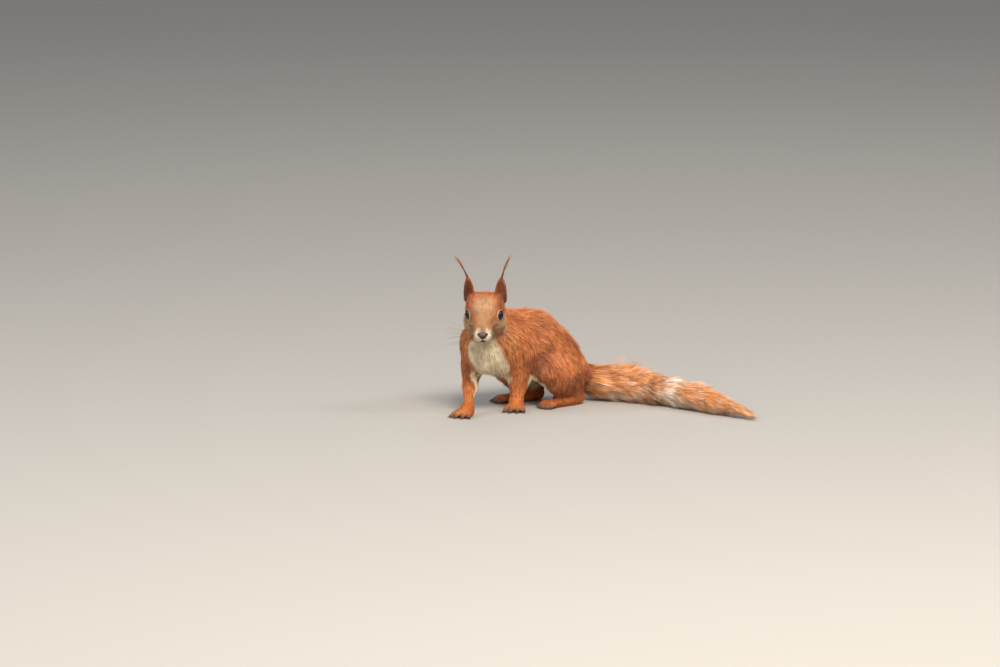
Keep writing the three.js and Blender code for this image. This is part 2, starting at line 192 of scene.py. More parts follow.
eyeCentres = {side: centreOf("eye_" + side) for side in sides}
eyeRadius = 5.0
lidReach = (0.5, 5)  # mm off the eyeball over which the coat grows from the lids
headLeft = unit(eyeCentres["left"] - eyeCentres["right"])
headMiddle = (eyeCentres["left"] + eyeCentres["right"]) / 2
noseMiddle = centreOf("nose")
noseDrop = math.atan2(8.8, 23.8)  # how far below the line of sight the nose pad sits
towardsNose = unit(noseMiddle - headMiddle - (noseMiddle - headMiddle) @ headLeft * headLeft)
headForward = np.array(Matrix.Rotation(-noseDrop, 3, Vector(headLeft))) @ towardsNose
headUp = np.cross(headLeft, -headForward)
headAxes = np.array([headLeft, headForward, headUp])


def inHead(left, forward, up):
    return headMiddle + np.array([left, forward, up]) @ headAxes


def headCoords(points):
    return (points - headMiddle) @ headAxes.T


limbNodes = [name + "_" + side for side in sides for name in
             ("upperarm", "forearm", "forepaw", "thigh", "shank", "hindpaw")]
bodyNodes = ["head", "neck", "chest", "belly", "rump"]
tailNodes = ["tail_1", "tail_2", "tail_3", "tail_4"]
fleshNodes = bodyNodes + limbNodes + ["ear_left", "ear_right"]


tailTrace = {"slices": 3, "overlap": 4, "end": 3, "start": 0.6}  # to a node, mm, mm, and a share of a slice


def tailSlices():
    # where the tail's middle runs, from the rump to its last hairs
    middles = []
    for name in tailNodes:
        points = pointsOf(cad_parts[name].data)
        before = meanOf(tailNodes[max(tailNodes.index(name) - 1, 0)])
        after = meanOf(tailNodes[min(tailNodes.index(name) + 1, 3)])
        along = points @ unit(after - before)
        marks = np.linspace(along.min(), along.max(), tailTrace["slices"] + 1)
        for low, high in runsOf(marks):
            part = points[(along >= low - tailTrace["overlap"]) & (along <= high + tailTrace["overlap"])]
            middles.append((part.min(0) + part.max(0)) / 2)
    middles.append(points[along > along.max() - tailTrace["end"]].mean(0))
    middles = np.array(middles)
    middles[0] += (middles[0] - middles[1]) * tailTrace["start"]
    chain = np.array([[index, index + 1] for index in range(len(middles) - 1)])
    even = relaxed(middles, chain, 3)
    even[[0, -1]] = middles[[0, -1]]
    return even


tailPath = tailSlices()
print("landmarks: the head looks along", np.round(headForward, 2))


# Skin: copies of the flesh run into each other, shrink by the coat's depth, and become one mesh

skinForm = {
    "merge": 0.02,  # mm between loose corners of a solid that become one
    "swell": 0.45,  # mm, so that copies on both sides of a cut overlap
    "cuff": 1.5,  # mm that a paw is thinner where it meets the leg
    "cuffHeight": (4.5, 11),  # mm over the floor where that starts and where it is reached
    "roughVoxel": 1.3,
    "voxel": 0.65,
    "hidden": 0.22,  # share of the faces that is kept where the coat hides the skin
    "firmSwell": {"ear": 0.3, "forepaw": 0.25, "hindpaw": 0.25},  # mm, for thin parts that keep their shape
    "evenRounds": 14,
    "firmRounds": 2,
    "fineRounds": 3,
    "softDepth": 3,  # mm of coat from which the skin under it is fully smoothed
    "tailCore": (10, 8, 1.2),  # mm, the tail's own radius inside the rump, at its root and at its end
    "tailSides": 14,
    "snout": 21,  # mm ahead of the eyes, where the coat has thinned to the depth at the nose
    "noseDepth": 0.5,
    "eyeDepth": 0.25,
    "eyeRoom": 0.3,  # mm of skin round each eyeball, before the lids open
    "depth": {  # mm of coat over each part
        "head": 1.7, "neck": 3.4, "chest": 4.6, "belly": 4.8, "rump": 4.6, "upperarm": 3.6, "forearm": 1.4,
        "thigh": 4.4, "shank": 2.2, "forepaw": 0.5, "hindpaw": 0.6, "ear": 0.3,
    },
}


def mergedCopy(name, swell):
    form = formFrom(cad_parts[name].data)
    bmesh.ops.remove_doubles(form, verts=form.verts, dist=skinForm["merge"] * mm)
    form.normal_update()
    for vert in form.verts:
        vert.co += vert.normal * swell * mm
    return form


def joined(forms):
    whole = bmesh.new()
    for form in forms:
        part = meshFrom(form, "part")
        whole.from_mesh(part)
        bpy.data.meshes.remove(part)
    return meshFrom(whole, "joined")


def remeshed(mesh, voxel):
    holder = linked("holder", mesh)
    remesh = holder.modifiers.new("remesh", "REMESH")
    remesh.mode = "VOXEL"
    remesh.voxel_size = voxel * mm
    return applied(holder)


def largestIsland(mesh):
    # drops stray bubbles that the voxels leave inside
    form = formFrom(mesh)
    left, islands = set(form.verts), []
    while left:
        seed = left.pop()
        island, front = {seed}, [seed]
        while front:
            for edge in front.pop().link_edges:
                for vert in edge.verts:
                    if vert in left:
                        left.discard(vert)
                        island.add(vert)
                        front.append(vert)
        islands.append(island)
    islands.sort(key=len)
    for island in islands[:-1]:
        bmesh.ops.delete(form, geom=list(island), context="VERTS")
    refill(mesh, form)
    return mesh


def ball(centre, radius):
    form = bmesh.new()
    place = Matrix.Translation(Vector(centre * mm))
    bmesh.ops.create_icosphere(form, subdivisions=3, radius=radius * mm, matrix=place)
    return form


def tailCore():
    # a tapering tube of rings along the tail's middle, closed at both ends
    form = bmesh.new()
    path = np.vstack([meanOf("rump"), tailPath[:-1]])
    inside, root, end = skinForm["tailCore"]
    radii = np.concatenate([[inside, (inside + root) / 2], np.linspace(root, end, len(path) - 2)])
    rings = []
    for place, radius, way in zip(path, radii, np.gradient(path, axis=0)):
        turn = Vector(way).to_track_quat("Z", "Y").to_matrix().to_4x4()
        ring = bmesh.ops.create_circle(form, segments=skinForm["tailSides"], radius=radius * mm,
                                       matrix=Matrix.Translation(Vector(place * mm)) @ turn)["verts"]
        rings.append(ring)
    for ring, after in runsOf(rings):
        edges = {edge for vert in ring + after for edge in vert.link_edges
                 if all(end in ring for end in edge.verts) or all(end in after for end in edge.verts)}
        bmesh.ops.bridge_loops(form, edges=list(edges))
    for ring in (rings[0], rings[-1]):
        bmesh.ops.contextual_create(form, geom=ring)
    bmesh.ops.recalc_face_normals(form, faces=form.faces)
    return form


def nodeFinder():
    # finds the flesh node that lies nearest to a point
    forms = [mergedCopy(name, 0) for name in fleshNodes + tailNodes]
    corners, faces, owners = [], [], []
    for index, form in enumerate(forms):
        start = len(corners)
        corners += [vert.co.copy() for vert in form.verts]
        faces += [[start + vert.index for vert in face.verts] for face in form.faces]
        owners += [index] * len(form.faces)
        form.free()
    tree = BVHTree.FromPolygons(corners, faces)

    def find(points):
        return np.array([owners[tree.find_nearest(Vector(place * mm))[2]] for place in points])
    return find


findNode = nodeFinder()
regionNames = [name.split("_")[0] for name in fleshNodes + tailNodes]


def byRegion(table, owners, tail=0.0):
    worth = np.array([table.get(region, tail) for region in regionNames])
    return worth[owners]


def eyeNearness(points):
    gap = np.min([np.linalg.norm(points - centre, axis=1) for centre in eyeCentres.values()], axis=0)
    return 1 - eased(*lidReach, gap - eyeRadius)


def roughSkin():
    forms = [mergedCopy(name, skinForm["swell"]) for name in fleshNodes + ["nose"]]
    forms += [ball(centre, eyeRadius + skinForm["eyeRoom"]) for centre in eyeCentres.values()]
    mesh = remeshed(joined(forms), skinForm["roughVoxel"])
    places, edges = pointsOf(mesh), edgesOf(mesh)
    owners = findNode(places)
    depth = byRegion(skinForm["depth"], owners)
    head = headCoords(places)
    onHead = byRegion({"head": 1}, owners)
    depth = between(depth, skinForm["noseDepth"], eased(0, skinForm["snout"], head[:, 1]) * onHead)
    depth = between(depth, skinForm["eyeDepth"], eyeNearness(places) * onHead)
    depth = relaxed(depth, edges, skinForm["evenRounds"])
    soft = np.clip(depth / skinForm["softDepth"], 0, 1)[:, None]
    even = relaxed(places, edges, skinForm["evenRounds"])
    firm = relaxed(places, edges, skinForm["firmRounds"])
    setPoints(mesh, between(firm, even, soft))
    setPoints(mesh, pointsOf(mesh) - normalsOf(mesh) * (depth + skinForm["swell"])[:, None])
    return mesh


def firmCopy(name):
    # a thin part keeps its shape, and a paw narrows upwards so that it runs into the leg
    form = mergedCopy(name, skinForm["firmSwell"][name.split("_")[0]])
    if "paw" in name:
        for vert in form.verts:
            vert.co -= vert.normal * skinForm["cuff"] * eased(*skinForm["cuffHeight"], vert.co.z / mm) * mm
    return form


def bodySkin():
    rough = formFrom(roughSkin())
    firm = [firmCopy(name) for name in fleshNodes if name.split("_")[0] in skinForm["firmSwell"]]
    mesh = largestIsland(remeshed(joined([rough, tailCore(), *firm]), skinForm["voxel"]))
    setPoints(mesh, relaxed(pointsOf(mesh), edgesOf(mesh), skinForm["fineRounds"]))
    return thinned(mesh)


def thinned(mesh):
    # the mesh stays fine on the head, ears and feet, and is coarser under the long coat
    holder = linked("holder", mesh)
    bare = {"head": 1, "ear": 1, "forepaw": 1, "hindpaw": 1}
    covered = 1 - byRegion(bare, findNode(pointsOf(mesh)))
    group = holder.vertex_groups.new(name="covered")
    group.add(np.flatnonzero(covered).tolist(), 1.0, "REPLACE")
    decimate = holder.modifiers.new("thin", "DECIMATE")
    decimate.vertex_group = group.name
    decimate.ratio = 1 - covered.mean() * (1 - skinForm["hidden"])
    return applied(holder)


def coatDepth(points):
    # how far points lie under the coat's outer face, which is all the solids run into one
    solids = [mergedCopy(name, skinForm["swell"]) for name in fleshNodes + tailNodes + ["nose"]]
    mesh = largestIsland(remeshed(joined(solids), skinForm["roughVoxel"]))
    setPoints(mesh, relaxed(pointsOf(mesh), edgesOf(mesh), skinForm["fineRounds"]))
    shell = treeOf(mesh)
    gaps = np.array([shell.find_nearest(Vector(point * mm))[3] for point in points]) / mm
    return np.maximum(gaps - skinForm["swell"], 0)


skinMesh = bodySkin()
print("skin:", len(skinMesh.vertices), "vertices")


# Face: a finer mesh round the eyes, nose and mouth, then lids and the mouth's line

faceForm = {
    "fineReach": 9.5,  # mm round each eye and the nose where the mesh is halved
    "gaze": 64,  # degrees that each eye looks outward from straight ahead
    "opening": 57,  # degrees from the middle of the eye to the edge of its lids
    "lidLip": 0.55,  # mm that the lids stand off the eyeball
    "lidEdge": (-5, 1),  # degrees from the opening over which the skin rises to the lids
    "lidSlope": (3, 24),  # and over which the lids run out into the face
    "lidEnd": 100,  # degrees from the gaze, and mm off the eyeball, where they end
    "lidWide": 5,
    "behind": 1.2,  # mm that the skin in the opening lies under the eyeball's face
    "mouthDepth": 0.7,
    "mouthWidth": 0.7,
    "mouthLine": [(0, 25, -11.5), (0, 23, -14.6), (3, 20.5, -15.8), (5.4, 14, -15.6)],
}
gazeTilt = math.radians(faceForm["gaze"])
gazes = {side: np.array([sign * math.sin(gazeTilt), math.cos(gazeTilt), 0.1]) @ headAxes
         for side, sign in sides.items()}


def refineFace(mesh):
    middles = [Vector(centre * mm) for centre in [*eyeCentres.values(), inHead(0, 21, -12)]]
    form = formFrom(mesh)
    reach = faceForm["fineReach"] * mm
    edges = []
    for edge in form.edges:
        place = (edge.verts[0].co + edge.verts[1].co) / 2
        if min((place - middle).length for middle in middles) < reach:
            edges.append(edge)
    bmesh.ops.subdivide_edges(form, edges=edges, cuts=1, use_grid_fill=True)
    refill(mesh, form)


def openLids(places):
    # skin over the opening sinks behind the eyeball, and round it stands off in a lip
    for side, centre in eyeCentres.items():
        offset = places - centre
        reach = np.linalg.norm(offset, axis=1)
        angle = np.degrees(np.arccos(np.clip(unit(offset) @ gazes[side], -1, 1)))
        beyond = angle - faceForm["opening"]
        lidded = between(eyeRadius + faceForm["lidLip"], reach, eased(*faceForm["lidSlope"], beyond))
        sunk = between(eyeRadius - faceForm["behind"], lidded, eased(*faceForm["lidEdge"], beyond))
        near = (reach < eyeRadius + faceForm["lidWide"]) & (angle < faceForm["lidEnd"])
        places = np.where(near[:, None], centre + unit(offset) * sunk[:, None], places)
    return places


def mouthStrokes(tree):
    strokes = []
    for sign in sides.values():
        ends = [inHead(sign * left, forward, up) for left, forward, up in faceForm["mouthLine"]]
        ends = [np.array(tree.find_nearest(Vector(end * mm))[0]) / mm for end in ends]
        strokes += runsOf(ends)
    return strokes


def nearestStroke(points, strokes):
    return np.min([nearestOnLine(points, start, end)[0] for start, end in strokes], axis=0)


refineFace(skinMesh)
setPoints(skinMesh, openLids(pointsOf(skinMesh)))
mouthLines = mouthStrokes(treeOf(skinMesh))
mouthGap = nearestStroke(pointsOf(skinMesh), mouthLines)
mouthFold = faceForm["mouthDepth"] * np.exp(-(mouthGap / faceForm["mouthWidth"]) ** 2)
setPoints(skinMesh, pointsOf(skinMesh) - normalsOf(skinMesh) * mouthFold[:, None])
print("face: lids and mouth cut,", len(skinMesh.vertices), "vertices")


# Markings and painted light: each colour lies along strokes, given by their two ends and the radius at each;
# some strokes are painted shade or painted highlights rather than the fur's own colour

def pawOf(claw):
    kind, side = claw.split("_")[1:3]
    return kind + "paw_" + side


toeMark = {"length": 7, "radii": (5.5, 2.6)}  # mm


def toeStrokes():
    # from each claw back along its toe
    strokes = []
    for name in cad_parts:
        if name.startswith("claw_"):
            claw, paw = meanOf(name), meanOf(pawOf(name))
            strokes.append((claw, claw + unit(paw - claw) * toeMark["length"], *toeMark["radii"]))
    return strokes


def bothSides(start, end, *radii):
    # the same stroke on each side of the head
    strokes = []
    for sign in sides.values():
        strokes.append((*[inHead(sign * left, forward, up) for left, forward, up in (start, end)], *radii))
    return strokes


markingsAndPaintedLight = {
    "cream": [
        (inHead(0, 22, -12), inHead(0, 12, -17), 8.4, 9),  # muzzle and chin
        (inHead(0, 7, -20), (-80, -61, 60), 8, 11),  # throat
        ((-79.5, -60, 64), (-80, -50, 41), 12.8, 16),  # breast
        ((-86, -46, 38), (-88, 22, 28), 12, 14),  # belly
        ((-95.5, -57, 38), (-91, -58, 28), 4.2, 4),  # inside of the right foreleg
        ((-91, -58, 28), (-83.5, -66, 17), 4, 3),
        ((-74, -6, 34), (-72, 20, 30), 8, 8),  # groin
        ((-66, -12, 30), (-64, 4, 27), 6, 6),
        *bothSides((11.8, 5, 8.4), (14.5, 0.5, 8.4), -0.4, -0.6),  # brows
        *bothSides((8.8, 11.5, -3), (11, 7.5, -1.5), -0.5, -0.8),  # under the eyes
    ],
    "russetAndShade": [
        ((-62, -14, 44), (-60, -4, 56), 12, 6),  # flank, behind the shoulder: painted shade between the shoulder and the thigh
        ((-64, -12, 32), (-58, 2, 30), 11, 9),
        ((-48, 20, 16), (-50, 44, 26), 16, 15),  # back of the thigh and rump: darker fur, deepened with painted shade
        ((-60, 12, 74), (-62, 40, 54), 5, 8),  # along the side of the back
        ((-104, -60, 42), (-100, -64, 30), 7, 7),  # right foreleg: painted shade on the far foreleg
        *bothSides((13, -12, 8), (13, -12, 24), 5, 5),  # backs of the ears
    ],
    "grizzle": [
        (inHead(0, 17, -3), inHead(0, 4, 12), 7, 11),  # bridge of the nose and forehead
        *bothSides((8, 12, -6), (15, -4, -10), 6.5, 8),  # cheeks
        *bothSides((12.5, 3, -16), (13.5, -1, -21), 1, 0),  # below the cheeks
        *[(claw, toe, -1, -3) for claw, toe, *_ in toeStrokes()],
    ],
    "orange": [
        (inHead(14, -18, -8), (-58, -38, 62), 9, 9),  # side of the neck
        (inHead(-14, -18, -8), (-104, -62, 62), 9, 9),
        ((-74, -20, 34), (-70, -36, 2), 9, 12),  # forelegs
        ((-104, -54, 30), (-80, -88, 2), 9, 12),
        ((-60, 20, 4), (-60, 0, 3), 9, 9),  # hind feet
        ((-104, 12, 4), (-112, -8, 3), 9, 9),
    ],
    "amberAndHighlight": [
        ((-58, -46, 74), (-56, -40, 60), 10, 8),  # side of the neck and shoulder: golden fur with a painted highlight
        ((-56, 8, 62), (-55, 13, 53), 0, 3),  # above the knee: a painted highlight on the top of the thigh
    ],
    "straw": [
        *bothSides((5.5, 20.5, -10), (3.5, 21, -14), 2.6, 3.4),  # lips
    ],
    "maroonAndShade": [
        (noseMiddle - headUp * 5, noseMiddle - headUp * 6.7 - headForward * 1.5, 1.4, 3),  # mouth
        ((-60.5, -19, 58), (-61.5, -16, 44), 0.3, 0.8),  # painted shade in the fold behind the upper arm
        ((-61.5, -16, 44), (-63.5, -14, 34), 0.8, 0.5),
        ((-58.5, -9.5, 47), (-57.5, -11, 42), 0.2, 0.5),  # and painted shade in the fold before the thigh
        ((-57.5, -11, 42), (-57, -8, 26), 0.6, 0.4),
    ],
    "umberAndShade": [
        *bothSides((8, 13.5, -7), (11.5, 7.5, -6), 0.4, 0.2),  # painted shade in the whisker beds
        *bothSides((13.5, 3, -7), (14.5, -4, -9), 0.6, 0.4),  # below the eyes
        (inHead(0, 23, -5), inHead(0, 15.5, -3.6), 3.4, 2),  # top of the nose
        *toeStrokes(),
    ],
}
earLines = {  # left, forward and up of the eyes' middle, and the radius
    "maroonAndShade": [(14.6, -15.4, 28, 1.2), (14.8, -15.9, 19, 4.4), (16, -15, 10, 4.2), (16.6, -11.5, 3, 3),
               (17.2, -7, 3.5, 1.2)],  # the hollow
    "straw": [(17.4, -15.4, 27, 0.1), (19.4, -15.5, 19, 0.3), (20, -14.5, 10, 0.3),
              (19, -11.5, 4, 0)],  # its rim
}
for colour, line in earLines.items():
    for start, end in runsOf(line):
        markingsAndPaintedLight[colour] += bothSides(start[:3], end[:3], start[3], end[3])
markingAndPaintedLightBlend = {  # mm over which it turns to the colour below, and how much of it shows
    "cream": (2.8, 1), "grizzle": (11, 0.85), "orange": (8, 0.5), "russetAndShade": (8, 0.82), "amberAndHighlight": (9, 0.7),
    "straw": (2, 0.9), "maroonAndShade": (0.8, 1), "umberAndShade": (2.4, 0.72),
}
eyeRing = {
    "rim": (58, 61),  # degrees from the gaze where the dark rim of the lids turns to the pale ring
    "end": (64, 76),  # and where the ring runs out
    "wide": (2.5, 4),  # mm off the eyeball
    "share": 0.55,
}
earTurn = math.radians(38)  # how far an ear opens to the side


def markingsAndPaintedLightAt(points, ways, owners):
    wander = ripple(points, 9, 5) * 1.1 + ripple(points, 3.5, 6) * 0.6
    masks = {}
    for colour, strokes in markingsAndPaintedLight.items():
        inside = np.full(len(points), -99.0)
        for start, end, startRadius, endRadius in strokes:
            gap, share = nearestOnLine(points, np.array(start, float), np.array(end, float))
            inside = np.maximum(inside, between(startRadius, endRadius, share) - gap)
        edge, share = markingAndPaintedLightBlend[colour]
        masks[colour] = eased(-edge, edge, inside + wander * min(edge, 2) / 2) * share
    onEars = byRegion({"ear": 1.0, "head": 1.0}, owners) * (headCoords(points)[:, 1] < -5)
    masks["maroonAndShade"] *= between(1, earFacing(points, ways), onEars)
    for side, centre in eyeCentres.items():
        # a pale ring round each eye, and a dark rim on the lids themselves
        angle = angleFromGaze(points, side)
        near = 1 - eased(*eyeRing["wide"], np.linalg.norm(points - centre, axis=1) - eyeRadius)
        ring = eased(*eyeRing["rim"], angle) * (1 - eased(*eyeRing["end"], angle)) * near
        rim = (1 - eased(*eyeRing["rim"], angle)) * near
        masks["cream"] = np.maximum(masks["cream"], eyeRing["share"] * ring) * (1 - rim)
        masks["maroonAndShade"] = np.maximum(masks["maroonAndShade"], rim)
    return masks


def earFacing(points, ways):
    # 1 where the skin of an ear turns towards the ear's opening
    aside = np.sign(headCoords(points)[:, 0])
    left, forward, _ = (ways @ headAxes.T).T
    return eased(-0.1, 0.35, aside * left * math.sin(earTurn) + forward * math.cos(earTurn))


def angleFromGaze(points, side):
    return np.degrees(np.arccos(np.clip(unit(points - eyeCentres[side]) @ gazes[side], -1, 1)))


# Growth: the coat's length, width and number of tufts over each part, as values on the skin

growth = {  # mm long, mm wide, tufts on each square mm
    "head": (3.6, 0.26, 3.1), "ear": (2.4, 0.22, 3.2), "neck": (7.5, 0.38, 3), "chest": (8.5, 0.42, 2.4),
    "belly": (9, 0.44, 2.3), "rump": (9, 0.42, 2.7), "upperarm": (7, 0.4, 2.9), "forearm": (4.8, 0.34, 3),
    "thigh": (8.5, 0.42, 2.8), "shank": (6, 0.4, 2.6), "forepaw": (1.5, 0.24, 3), "hindpaw": (1.8, 0.26, 2.2),
    "tail": (28, 0.3, 2.2),
}
faceGrowth = {"length": 1.3, "width": 0.2, "count": 3.6}  # at the tip of the snout
fieldRounds = 16  # how far one part's coat runs into the next
fullness = {"cheek": (0.6, 2.5), "jowl": (1.8, 1.8), "nape": (1.3, 3.5)}  # mm that it is deeper, and longer
bareForm = {  # where no hair grows
    "lids": (59, 62),  # degrees from the gaze
    "lidWide": 4,  # mm off the eyeball
    "nose": (3.6, 4.4),  # mm from its middle
    "noseShape": (1.15, 1, 0.85),
    "mouth": (0.4, 0.8),  # mm from its line
    "sole": (0.6, 0.85),  # how squarely the skin faces the floor
    "soleHeight": 2.5,
}


def fullParts(points, onHead):
    # where the coat of the head and nape stands fuller
    aside, forward, up = headCoords(points).T
    aside = abs(aside)
    arch = [(inHead(sign * 10, -27, 0), inHead(0, -29, 13)) for sign in sides.values()]
    return {
        "cheek": eased(8, 14, aside) * (1 - eased(-4, 3, forward)) * (1 - eased(2, 9, up)) * onHead,
        "jowl": eased(5, 10, aside) * (1 - eased(8, 15, forward)) * (1 - eased(-8, -4, up)) * onHead,
        "nape": 1 - eased(3, 12, nearestStroke(points, arch)),
    }


def bareSkin(points, ways):
    bare = np.zeros(len(points))
    for side, centre in eyeCentres.items():
        near = np.linalg.norm(points - centre, axis=1) < eyeRadius + bareForm["lidWide"]
        bare = np.maximum(bare, near * (1 - eased(*bareForm["lids"], angleFromGaze(points, side))))
    noseGap = np.linalg.norm((headCoords(points) - headCoords(noseMiddle)) / bareForm["noseShape"], axis=1)
    bare = np.maximum(bare, 1 - eased(*bareForm["nose"], noseGap))
    bare = np.maximum(bare, 1 - eased(*bareForm["mouth"], nearestStroke(points, mouthLines)))
    return np.maximum(bare, eased(*bareForm["sole"], -ways[:, 2]) * (points[:, 2] < bareForm["soleHeight"]))


def skinFields(mesh):
    points, ways, edges = pointsOf(mesh), normalsOf(mesh), edgesOf(mesh)
    owners = findNode(points)
    isHead = byRegion({"head": 1.0}, owners)
    snout = eased(-4, 19, headCoords(points)[:, 1]) * isHead
    nearEye = eyeNearness(points) * isHead
    fields = {"gap": coatDepth(points)}
    for column, name in enumerate(("length", "width", "count")):
        spread = byRegion({region: row[column] for region, row in growth.items()}, owners)
        fields[name] = between(spread, faceGrowth[name], np.maximum(snout, nearEye))
    for region in ("head", "ear", "tail"):
        fields["on " + region] = byRegion({region: 1.0}, owners)
    for name in fields:
        fields[name] = relaxed(fields[name], edges, fieldRounds)
    for part, mask in fullParts(points, fields["on head"]).items():
        deeper, longer = fullness[part]
        fields["gap"] = fields["gap"] + deeper * mask
        fields["length"] = fields["length"] + longer * mask
    fields["bare"] = bareSkin(points, ways)
    fields.update(markingsAndPaintedLightAt(points, ways, owners))
    return fields, owners


skin, skinOwners = skinFields(skinMesh)
skinWays = normalsOf(skinMesh)
skinSurface = treeOf(skinMesh)
print("fields: coat gap from", round(skin["gap"].min(), 2), "to", round(skin["gap"].max(), 2), "mm")


def unwrapSkin(mesh):
    piece = addPiece("skin", mesh, fleshNodes + tailNodes)
    shadeSmooth(mesh)
    mesh.uv_layers.new(name=bakeMap)
    bpy.context.view_layer.objects.active = piece
    bpy.ops.object.mode_set(mode="EDIT")
    bpy.ops.mesh.select_all(action="SELECT")
    bpy.ops.uv.smart_project(angle_limit=math.radians(70), island_margin=0.004)
    bpy.ops.object.mode_set(mode="OBJECT")


unwrapSkin(skinMesh)
print("skin: unwrapped,", len(skinMesh.polygons), "faces")


# Roots: places on the skin where tufts grow, spread by the density wanted there

def skinTriangles(mesh):
    mesh.calc_loop_triangles()
    count = len(mesh.loop_triangles)
    corners, loops = np.empty(count * 3, np.int32), np.empty(count * 3, np.int32)
    mesh.loop_triangles.foreach_get("vertices", corners)
    mesh.loop_triangles.foreach_get("loops", loops)
    flat = np.empty(len(mesh.loops) * 2, np.float32)
    mesh.uv_layers[bakeMap].data.foreach_get("uv", flat)
    return corners.reshape(-1, 3), flat.reshape(-1, 2)[loops.reshape(-1, 3)]


triangles, triangleMaps = skinTriangles(skinMesh)
skinPoints = pointsOf(skinMesh)


def plantRoots(wanted):
    # wanted has the number of tufts on each square mm, at each vertex of the skin
    a, b, c = skinPoints[triangles].transpose(1, 0, 2)
    areas = np.linalg.norm(np.cross(b - a, c - a), axis=1) / 2
    running = np.cumsum(areas * wanted[triangles].mean(1))
    count = int(running[-1])
    marks = (np.arange(count) + chance.random(count)) * running[-1] / count
    chosen = np.searchsorted(running, marks).clip(0, len(triangles) - 1)
    root, turn = np.sqrt(chance.random(count)), chance.random(count)
    weights = np.stack([1 - root, root * (1 - turn), root * turn], axis=1)
    return {"corners": triangles[chosen], "weights": weights, "count": count,
            "map": (triangleMaps[chosen] * weights[:, :, None]).sum(1)}


def atRoots(roots, values):
    picked = values[roots["corners"]]
    weights = roots["weights"].reshape(roots["weights"].shape + (1,) * (picked.ndim - 2))
    return (picked * weights).sum(1)


# Lie: which way the hair is combed, from strokes that run through the solids' middles

def combStrokes():
    chains = [["head", "neck", "chest", "belly", "rump", *tailNodes], ["head", "chest"]]
    for side in sides:
        chains.append(["upperarm_" + side, "forearm_" + side, "forepaw_" + side, f"claw_fore_{side}_2"])
        chains.append(["thigh_" + side, "shank_" + side])
        chains.append(["hindpaw_" + side, f"claw_hind_{side}_3"])
    return [(meanOf(first), meanOf(second)) for chain in chains for first, second in runsOf(chain)]


combing = combStrokes()
lieForm = {
    "reach": 30,  # the higher, the further a stroke combs
    "droop": 0.15,
    "sway": 0.06,  # share by which the hair wanders sideways, in swells and from hair to hair
    "swell": 16,  # mm
}


def lieAt(roots, points, ways):
    flow = np.zeros_like(points)
    for start, end in combing:
        gap, _ = nearestOnLine(points, start, end)
        flow += unit(end - start) / (gap[:, None] ** 2 + lieForm["reach"]) ** 2
    flow = unit(flow) - [0, 0, lieForm["droop"]]
    head, ear = atRoots(roots, skin["on head"])[:, None], atRoots(roots, skin["on ear"])[:, None]
    flow = between(flow, unit(points - noseMiddle + headUp * 6), eased(0.3, 0.9, head))
    isLeft = ((points - headMiddle) @ headLeft > 0)[:, None]
    earWay = np.where(isLeft, unit(centreOf("ear_left") - inHead(13, -10, 3)),
                      unit(centreOf("ear_right") - inHead(-13, -10, 3)))
    flow = between(flow, earWay, eased(0.3, 0.8, ear))
    flow = unit(flow - (flow * ways).sum(1)[:, None] * ways)
    sideways = np.cross(ways, flow)
    wander = lieForm["sway"] * ripple(points, lieForm["swell"], 8)
    wander += lieForm["sway"] * chance.normal(size=len(points))
    return unit(flow + sideways * wander[:, None])


skinDepth = np.array([skin["gap"][list(face.vertices)].mean() for face in skinMesh.polygons])


def overSkin(points, shares):
    # lifts points over the nearest skin by a share of the coat's depth there
    found = [skinSurface.find_nearest(Vector(point * mm))[:3] for point in points]
    feet = np.array([place for place, _, _ in found]) / mm
    ways = np.array([way for _, way, _ in found])
    depth = np.maximum(skinDepth[[face for _, _, face in found]], coatForm["least"])
    return feet + ways * (depth * shares)[:, None]


# Tufts: three-sided tapering spikes, many to a mesh

patchHalf = 0.0015  # of a tuft's place on the bake map


